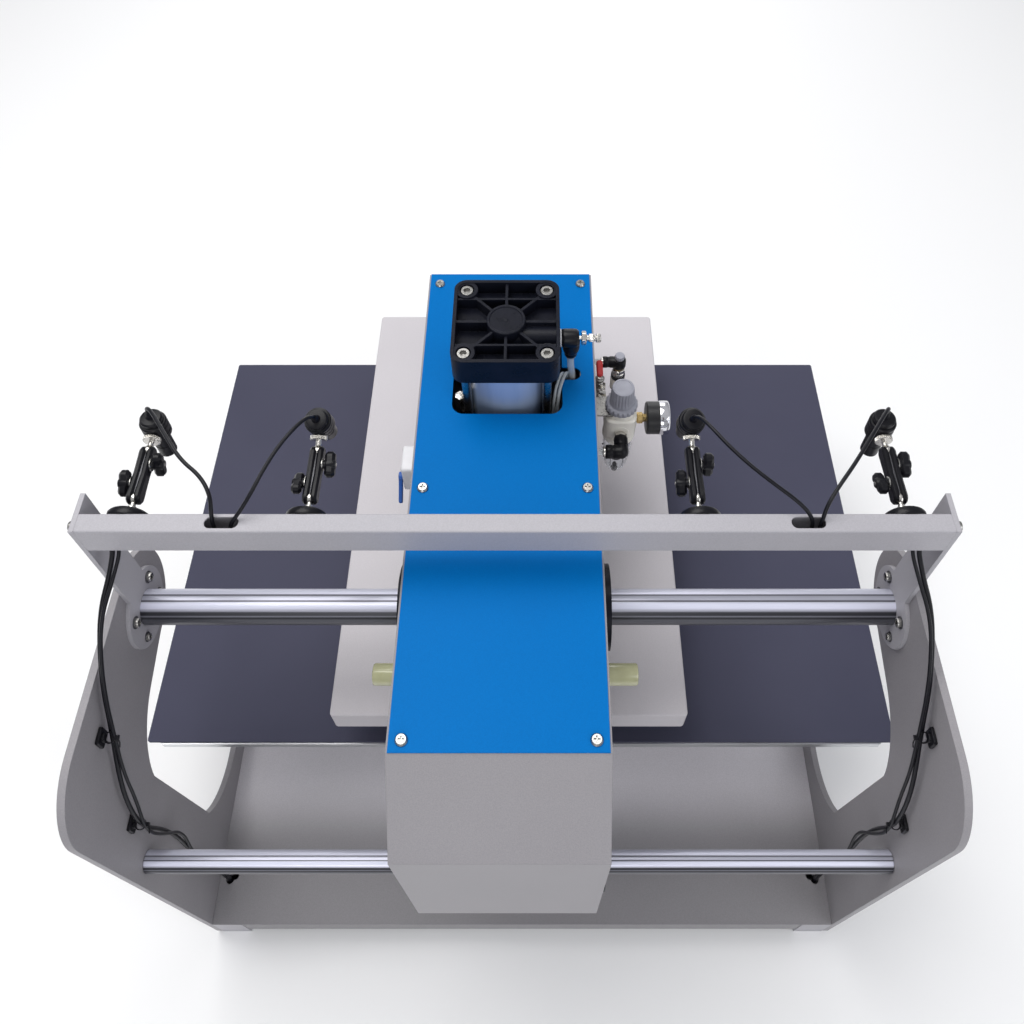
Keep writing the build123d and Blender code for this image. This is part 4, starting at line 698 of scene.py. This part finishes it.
bowl = Piece("filter_bowl_shell")
bowl.lathe([(0, 458.2), (3.2, 458.2), (4.4, 459.4), (4.4, 467), (8, 469), (12.5, 474), (15.6, 484),
            (17.6, 512), (18.8, 532), (18.9, 545), (17.2, 545), (17, 532), (15.9, 512), (14, 486), (11, 477),
            (0, 472.5)], BOWL, upright, steps=56)
RIBS = 6
for k in range(RIBS):
    rib = upright @ Matrix.Rotation(TAU * k / RIBS, 4, "Z")
    bowl.tube([rib @ Vector(p) for p in ((18.3, 0, 520), (17.2, 0, 500), (15.8, 0, 485))], 1.2, BOWL, steps=8)
bowl.lathe([(0, 505), (6.4, 505), (7, 506), (7, 536), (9, 538), (9, 541), (13, 543), (13, 545), (0, 545)],
           WHITE, upright)
bowl.lathe([(0, 497), (11, 498.4), (11.4, 499.6), (2, 502), (2, 506)], BLACK, upright)
drain = fluted(3.4, 8, 0.5)
bowl.lathe([(0, 458), (2.6, 458), (drain, 459), (drain, 464), (2, 465.5), (2, 474)], BLACK, upright, steps=48)
bowl.done("head", ["filter_bowl"], "clear_bowl")

fittings = Piece("air_elbows")
inlet, branch = (pose((REG_X, REG_Y - 46, 573), axis) for axis in ("Y", "-X"))
fittings.lathe([(0, -8.4), (5, -7.4), (8, -4), (8.8, 0), (8.8, 6), (8.2, 7.4), (7, 7.6)], BLACK, inlet)
fittings.lathe([(7.2, 7.4), (8.6, 8), (8.8, 10), (8.8, 19), (8.2, 20.4), (7, 20.6)], BLACK, inlet)
wide = hexagon(7.4)
fittings.lathe([(7, 20.4), (wide, 20.8), (wide, 24.4), (7, 24.8), (6, 24.8), (6, 28)], NICKEL, inlet)
fittings.lathe([(8.7, 0), (8.7, 9), (8.2, 10), (8.2, 12), (8.8, 13), (8.8, 18.6), (8, 19.8), (6.4, 20)],
               BLACK, branch)
fittings.lathe([(6.6, 19), (6.6, 22), (6, 22.8), (4.2, 22.8), (4, 19)], NICKEL, branch)
fittings.lathe([(4, 16), (4, 36)], TUBE, branch, steps=24)

SPEED_Y = 147
stack = pose((REG_X, SPEED_Y, 0))
outlet = pose((REG_X, SPEED_Y, 617), "-X")
narrow, ring, dial = hexagon(7), knurled(8.4, 30, 0.5), fluted(6.2, 16, 0.5)
fittings.lathe([(6.4, 14), (6.4, 20), (narrow, 20.4), (narrow, 27), (6.4, 27.6), (5.6, 40)], NICKEL,
               pose((REG_X, REG_Y, PORTS_Z), "Y"))
fittings.lathe([(0, 565), (8.6, 565), (9.4, 566), (9.4, 586), (8.6, 587.4), (7, 587.6)], CREAM, stack)
fittings.lathe([(7.2, 587), (9, 587.6), (9, 592.4), (7.2, 593)], BLACK, stack)
fittings.lathe([(6.6, 592.8), (ring, 593.4), (ring, 598), (7.2, 598.8), (wide, 599.4), (wide, 604.4),
                (6.6, 605)], NICKEL, stack, steps=120)
fittings.lathe([(5.6, 604.6), (6.2, 605.2), (6.2, 608.6), (5.6, 609.2)], BRASS, stack)
fittings.lathe([(5.4, 608.6), (7.6, 609), (8.4, 611), (8.4, 621.4), (7.2, 623.6), (5, 624)], BLACK, stack)
fittings.lathe([(7.4, 0), (7.4, 12), (6.8, 13), (6.8, 15), (7.4, 16), (7.4, 20), (6.8, 21)], BLACK, outlet)
fittings.lathe([(6, 20), (6, 23), (5.4, 23.6), (4.1, 23.6), (4, 20)], NICKEL, outlet)
fittings.lathe([(4, 18), (4, 36)], TUBE, outlet, steps=24)
fittings.lathe([(4.8, 623.6), (4.8, 624.4), (5.6, 624.8), (dial, 625.4), (dial, 629.4), (5.4, 630.6),
                (0, 631)], GREY, stack, steps=96)
fittings.done("head", ["air_fittings"], "black_plastic")

face = pose((low("gauge_case").x, REG_Y, middle("gauge_case").z), "X")
DIAL_START, DIAL_SWEEP, DIAL_TICKS, DIAL_NUMBERS = 225, 270, 40, 6
FACE_LEVEL, FACE_R, NUMBER_RING, TICK_END = 32.4, 18.7, 11, 17
gauge = Piece("gauge_body")
stem_nut = hexagon(6.2)
gauge.lathe([(6, -2), (5.6, 1), (stem_nut, 1.6), (stem_nut, 8), (5.4, 8.6), (5, 12.4)], BRASS, face, steps=48)
gauge.lathe([(4, 12), (17, 12), (19.6, 12.6), (20.8, 14), (20.8, 31)], BLACK_PAINT, face, steps=64)
gauge.lathe([(20.6, 28.6), (21.3, 28.8), (21.5, 29.4), (21.5, 39), (20.6, 40.4), (19.4, 41), (18.8, 40.6),
             (18.6, 38), (18.6, 31)], CHROME_UPRIGHT, face, steps=64)
gauge.lathe([(0, FACE_LEVEL), (FACE_R, FACE_LEVEL)], DIAL, face, steps=64)
for k in range(DIAL_TICKS + 1):
    tick = face @ Matrix.Rotation(math.radians(DIAL_START - DIAL_SWEEP * k / DIAL_TICKS), 4, "Z")
    near, half = (13.6, 0.34) if k % 4 == 0 else (15.4, 0.18)
    mark = [(near, -half), (TICK_END, -half), (TICK_END, half), (near, half)]
    gauge.slab(mark, FACE_LEVEL - 0.02, FACE_LEVEL + 0.2, BLACK, tick, bevel=0.05)
gauge.done("head", ["gauge_case"], "black_plastic")
glass = Piece("gauge_glass")
glass.lathe([(0, 38), (FACE_R, 38), (FACE_R, 39), (0, 39)], BOWL, face, steps=48)
glass.done("head")
for k in range(DIAL_NUMBERS):
    t = math.radians(DIAL_START - DIAL_SWEEP * k / (DIAL_NUMBERS - 1))
    text = bpy.data.curves.new(f"gauge_number_{2 * k}", "FONT")
    text.body, text.size = str(2 * k), 0.0046
    text.align_x = text.align_y = "CENTER"
    text.extrude = 0.00005
    number = bpy.data.objects.new(f"gauge_number_{2 * k}", text)
    bpy.context.scene.collection.objects.link(number)
    spot = (NUMBER_RING * math.cos(t), NUMBER_RING * math.sin(t), FACE_LEVEL + 0.1)
    place = face @ Matrix.Translation(spot)
    number.matrix_world = Matrix.Translation(place.to_translation() * MM) @ place.to_3x3().to_4x4()
    text.materials.append(BLACK)
    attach(number, "head")
needle = Piece("gauge_pointer")
needle.slab([(-0.9, -5.5), (0.9, -5.5), (0.6, 4), (0.15, 15.5), (-0.15, 15.5), (-0.6, 4)], 33.6, 34.2,
            BLACK, face, bevel=0.1)
needle.lathe([(0, 32.6), (1.4, 32.6), (1.4, 33.4), (2.8, 33.6), (2.8, 34.8), (2, 35.2), (0, 35.2)], BRASS,
             face, steps=24)
needle.done("gauge_needle", ["gauge_needle"], "needle_black")

VALVE = Vector((middle("air_valve_handle").x, 117, 596))
valve = Piece("air_valve_body")
flats = hexagon(8.3)
valve.lathe([(4, -19.4), (5.4, -19), (5.4, -10), (7.6, -9.4), (flats, -8.8), (flats, -4), (7.4, -3),
             (7.4, 3), (flats, 4), (flats, 9), (7.6, 10), (5, 10), (4.4, 8), (0, 8)], NICKEL,
            pose(VALVE, "Y"), steps=48)
valve.lathe([(6.4, 4), (6.2, 9), (4.8, 10.4), (4.4, 19), (3.4, 20)], NICKEL, pose(VALVE))
valve.slab(rounded(18, 9, 2), 0, 4, ZINC, pose((HX + WALL, VALVE.y, VALVE.z), "X"), bevel=0.5)
valve.done("head", ["air_valve"], "nickel")
lever = Piece("air_valve_lever")
top = pose((VALVE.x, VALVE.y, 0))
lever.lathe([(2.4, 604), (2.4, 620), (5.6, 620.2), (5.8, 621), (5.8, 623), (4.2, 624), (3.6, 625.6),
             (0, 626)], ZINC, top, steps=24)
lever.slab(lobes([(0, 2, 3.6), (0, 20, 3.4)], 1), 620.2, 622.6, ZINC, top, bevel=0.3)
lever.slab(lobes([(0, 3.4, 3.9), (0, 21.3, 4)], 1), 620, 628.8, RED, top, bevel=1.6)
lever.done("air_valve_handle", ["air_valve_handle"], "red_lever")

hand = Piece("hand_valve_block")
out = pose((HX - WALL, *middle("hand_valve").yz), "-X")
hand.slab(rounded(33.6, 43.6, 3.5), 0, 15.6, WHITE, out, bevel=1.6)
hand.slab(rounded(25, 35, 2.5), 15, 16, WHITE, out, bevel=0.5)
for v in (17.4, -17.4):
    for u in (-12.6, 12.6):
        hand.lathe([(2.6, 15.4), (2.4, 16), (0.8, 16.2), (0.6, 15.6), (0, 15.6)], ZINC,
                   out @ Matrix.Translation((u, v, 0)), steps=18)
hand.done("head", ["hand_valve"], "white_block")
paddle = Piece("hand_valve_paddle")
pivot = pose((HX - WALL, -30, 632), "-X")
paddle.lathe([(2.4, 8), (2.4, 16.4), (5.6, 16.6), (5.8, 17.4), (5.8, 20.6), (4.6, 21.4), (0, 21.4)],
             BLUE_PLASTIC, pivot, steps=30)
paddle.slab(lobes([(0, 0, 4.4), (22, -15, 3.4)], 0.9), 16.8, 21.2, BLUE_PLASTIC, pivot, bevel=1)
paddle.done("hand_valve_lever", ["hand_valve_lever"], "blue_lever")

trim = Piece("bearing_seals")
SOCKET = [(2.7 * math.cos(TAU * i / 6), 2.7 * math.sin(TAU * i / 6)) for i in range(6)]
SCREW_CIRCLE, SIDE_SCREW_Z, BUSH_REACH = 39, 507, 110
for way, axis, end in ((1, "X", high("main_bearings").x), (-1, "-X", low("main_bearings").x)):
    hub = pose((end, RAIL_Y, RAIL_Z), axis)
    trim.lathe([(31, -1), (31, 0.6), (29.6, 1.2), (24, 1.4), (21.4, 0.4), (20.1, -1)], CORD, hub, steps=64)
    for k in range(4):
        t = math.radians(45 + 90 * k)
        socket = hub @ Matrix.Translation((SCREW_CIRCLE * math.cos(t), SCREW_CIRCLE * math.sin(t), -0.5))
        trim.slab(SOCKET, 0, 0.25, BLACK, socket, bevel=0.1)
    trim.lathe([(17, -1), (17, 0.5), (15.6, 1), (13, 0.9), (12.6, -1)], CORD,
               pose((HX + way * BUSH_REACH, REAR_Y, REAR_Z), axis), steps=48)
    for y in (18, 150, 200, -40, -290):
        cap_screw(trim, (HX + way * WALL, y, SIDE_SCREW_Z), axis, 4, 1.8)
trim.done("head")

stops = Piece("bumper_pads")
STOP_Y = middle("bumpers").y
for way, axis in ((1, "X"), (-1, "-X")):
    stub = pose((HX + way * WALL, STOP_Y, RAIL_Z), axis)
    stops.lathe([(0, 0), (11.4, 0), (12, 0.8), (12, 38.6), (11, 40.4), (9.6, 41), (4.4, 41), (4, 40.4),
                 (4, 34), (0, 34)], URETHANE, stub, steps=48)
    stops.lathe([(3.4, 34), (hexagon(3), 35), (hexagon(3), 38), (0, 38)], ZINC, stub, steps=36)
stops.done("head", ["bumpers"], "polyurethane")

BOX_FACE, BUTTON_Z = high("control_box").y, middle("start_button").z
FRONT = pose((HX, BOX_FACE, middle("control_box").z), "Y")
DISPLAY_V, DIGITS_SHOWN, DIGIT_PITCH, KEYS, KEY_PITCH = 24, 4, 13, 4, 18
# the strokes of a digit: place, width and height
STROKES = ((0, 6.4, 5.4, 1.2), (0, -6.4, 5.4, 1.2), (0, 0, 5.4, 1.2), (-3.4, 3.2, 1.2, 5),
           (3.4, 3.2, 1.2, 5), (-3.4, -3.2, 1.2, 5), (3.4, -3.2, 1.2, 5))
# each button's place from the middle, radius, height, its ring's radius, its finish and its slot
BUTTONS = {
    "start_button": (-52, 13, 8, 15.5, GREEN, "green_button"),
    "stop_button": (56, 20, 16, 22, RED, "red_lever"),
}
panel = Piece("control_panel")
panel.slab(rounded(164, 80, 4), -0.4, 0.7, PANEL, FRONT, bevel=0.3)
panel.slab(rounded(64, 24, 2), 0.6, 1.4, BLACK, FRONT @ Matrix.Translation((0, DISPLAY_V, 0)), bevel=0.3)
for k in range(DIGITS_SHOWN):
    for u, v, w, h in STROKES:
        if k in (0, 3) and (u, v) == (0, 0):
            continue
        spot = FRONT @ Matrix.Translation((u + DIGIT_PITCH * (1.5 - k), v + DISPLAY_V, 0))
        panel.slab(rounded(w, h, 0.5, 2), 1.3, 1.6, DIGITS, spot, bevel=0.1)
for k in range(KEYS):
    spot = FRONT @ Matrix.Translation((KEY_PITCH * (1.5 - k), 2, 0))
    panel.slab(rounded(12, 8, 2), 0.6, 1.5, GREY, spot, bevel=0.4)
for x, _, _, r, _, _ in BUTTONS.values():
    panel.lathe([(r, 0.4), (r, 1.1), (r - 0.8, 1.6), (r - 3, 1.7), (10.2, 1.7), (10.2, 0)], NICKEL,
                pose((HX + x, BOX_FACE, BUTTON_Z), "Y"), steps=48)
panel.done("head")
for name, (x, r, reach, _, finish, slot) in BUTTONS.items():
    press = Piece(name + "_cap")
    press.lathe([(9.9, -14), (9.9, 5.8), (r * 0.94, 6), (r, 7.2), (r, 6 + reach * 0.55),
                 (r * 0.93, 6 + reach * 0.84), (r * 0.7, 6 + reach * 0.97), (0, 6 + reach)], finish,
                pose((HX + x, BOX_FACE, BUTTON_Z), "Y"), steps=48)
    press.done(name, [name], slot)

grips = Piece("slide_handle_bar")
BAR_X, BAR_Y, BAR_Z = 75, 306, middle("slide_handle").z
GRIP_RINGS, RING_PITCH = 12, 9
right_end = [(BAR_X, 240), (BAR_X, 288), (72.6, 297), (66, 303.6), (57, BAR_Y)]
route = [(-x, y) for x, y in right_end] + right_end[::-1]
grips.tube(smooth_path([(HX + x, y, BAR_Z) for x, y in route], 5), 8.2, DARK_STEEL, steps=20)
for k in range(GRIP_RINGS):
    x = HX + RING_PITCH * (k - (GRIP_RINGS - 1) / 2)
    grips.lathe([(8, -4.4), (8.9, -3.6), (8.9, 3.6), (8, 4.4)], BLACK, pose((x, BAR_Y, BAR_Z), "X"))
for x in (-BAR_X, BAR_X):
    foot = pose((HX + x, high("head_housing").y, BAR_Z), "Y")
    grips.lathe([(0, 0), (12.6, 0), (13, 0.8), (13, 3.6), (12, 4.8), (9, 5), (8.2, 7)], BLACK, foot)
grips.done("head", ["slide_handle"], "black_plastic")

# ---- fasteners and cable trim of the frame ------------------------------------------------
INNER, OUTER = low("side_plate_right").x, high("side_plate_right").x
FLANGE, FOOT_TOP = INNER - 5, 72
WASHER_T = 1.2


def washer(piece, at, axis, bore, radius, thick, finish):
    """A flat washer."""
    piece.lathe([(bore, 0), (radius, 0), (radius, thick), (bore, thick)], finish, pose(at, axis))


bolts = Piece("frame_fasteners")
for way, axis, inward in ((1, "X", "-X"), (-1, "-X", "X")):
    for y in (RAIL_Y - 27, RAIL_Y + 27):
        for z in (RAIL_Z - 20, RAIL_Z + 20):
            size = 5.4 if z > RAIL_Z else 4.4
            washer(bolts, (way * FLANGE, y, z), inward, 3, size * 1.3, WASHER_T, DARK_STEEL)
            cap_screw(bolts, (way * (FLANGE - WASHER_T), y, z), inward, size, size * 0.7)
            nut(bolts, (way * OUTER, y, z), axis, 6.6, 5, stud=4, proud=1)
    for y, z in ((RAIL_Y, RAIL_Z), (REAR_Y, REAR_Z)):
        washer(bolts, (way * OUTER, y, z), axis, 5, 11.6, 1.6, ZINC)
        nut(bolts, (way * (OUTER + 1.6), y, z), axis, 8.6, 5, stud=2, proud=0.4)
    for y in (-340, -40, 260):
        cap_screw(bolts, (way * OUTER, y, middle("base_runners").z), axis, 6.8, 6.4)
    for z in (ARM_Z - 12, ARM_Z + 12):
        cap_screw(bolts, (way * INNER, middle("lamp_beam").y, z), axis, 5.4, 4)
    for x in (200, 360):
        for y in (PRESS_Y - 100, PRESS_Y + 100):
            washer(bolts, (way * x, y, FOOT_TOP), "Z", 5, 10.5, 1.6, ZINC)
            nut(bolts, (way * x, y, FOOT_TOP + 1.6), "Z", 8, 6.5, stud=5, proud=4)
bolts.done("frame", ["frame_bolts"], "zinc")

# where each tie mount sits on its plate, the middle of its ring round the cables, and the ring's lean
TIES = (((-299, 567), (415.5, -298, 565), 30), ((-351, 432), (414.4, -351, 430), 8),
        ((-344, 180), (411, -344, 180), 0))
ties = Piece("cable_tie_mounts")
for way, inward in ((1, "-X"), (-1, "X")):
    for (y, z), (ring_x, ring_y, ring_z), lean in TIES:
        seat = pose((way * INNER, y, z), inward)
        ties.slab(rounded(17.6, 17.6, 2), 0, 4, BLACK, seat, bevel=0.8)
        ties.slab(rounded(9, 7, 1.5), 3.6, 6, BLACK, seat, bevel=0.6)
        ring = pose((way * ring_x, ring_y, ring_z)) @ Matrix.Rotation(math.radians(lean), 4, "X")
        ties.lathe([(5, -1.6), (6, -1.6), (6, 1.6), (5, 1.6), (5, -1.6)], BLACK, ring, steps=24)
        ties.slab(rounded(5, 4.4, 0.8), -2.2, 2.2, BLACK, ring @ Matrix.Translation((-way * 7, 0, 0)),
                  bevel=0.4)
        ties.tube([ring @ Vector(p) for p in ((-way * 8, 0, 0), (-way * 11, -5, 1), (-way * 12, -9, 3))], 0.8,
                  BLACK, steps=6)
ties.done("frame", ["cable_clips"], "black_plastic")

# ---- camera, lights and floor -------------------------------------------------------------
floor = Piece("studio_floor")
FLOOR_HALF = 9000
floor.add([(-FLOOR_HALF, -FLOOR_HALF, 0), (FLOOR_HALF, -FLOOR_HALF, 0), (FLOOR_HALF, FLOOR_HALF, 0),
           (-FLOOR_HALF, FLOOR_HALF, 0)], [(0, 1, 2, 3)],
          surface("studio_floor", (0.94, 0.94, 0.945), (0.925, 0.925, 0.93), rough=(0.7, 0.8), patch=0.6,
                  grain=60, bump=0.01, bevel=0.0001))
floor.done()


def soft_light(name, at, toward, size, power, tint=(1, 1, 1)):
    """A large square lamp that faces a point."""
    lamp = bpy.data.lights.new(name, "AREA")
    lamp.size, lamp.energy, lamp.color = size, power, tint
    made = bpy.data.objects.new(name, lamp)
    made.location = at
    made.rotation_euler = (Vector(toward) - Vector(at)).to_track_quat("-Z", "Y").to_euler()
    bpy.context.scene.collection.objects.link(made)


soft_light("key", (-0.8, 0.6, 3.2), (0, 0, 0.4), 2.2, 64, (1.0, 0.99, 0.97))
soft_light("fill", (2.4, -1.6, 2.0), (0, 0, 0.4), 1.8, 22, (0.95, 0.97, 1.0))
soft_light("back", (0, 3.0, 1.6), (0, 0, 0.5), 2.0, 20)
soft_light("near", (-0.25, -2.4, 1.5), (0, -0.2, 0.45), 1.4, 13)

world = bpy.data.worlds.new("studio")
bpy.context.scene.world = world
world.use_nodes = True
up = add_node(world.node_tree, "SeparateXYZ", add_node(world.node_tree, "TexCoord").outputs["Generated"])
fade = add_node(world.node_tree, "ValToRGB", up.outputs["Z"])
fade.color_ramp.elements[0].color = (0.56, 0.57, 0.60, 1)
fade.color_ramp.elements[1].color = (1.0, 1.01, 1.04, 1)
feed(world.node_tree.nodes["Background"], Color=fade.outputs["Color"], Strength=0.54)

LOOKING_DOWN = 52
camera = bpy.data.cameras.new("camera")
camera.sensor_width = 36
camera.lens = 33.4336
camera.shift_x, camera.shift_y = -0.02539, -0.15
eye = bpy.data.objects.new("camera", camera)
eye.location = (0.022, -0.591, 1.569)
eye.rotation_euler = (math.radians(90 - LOOKING_DOWN), 0, 0)
bpy.context.scene.collection.objects.link(eye)
bpy.context.scene.camera = eye
bpy.context.scene.view_settings.view_transform = "Standard"
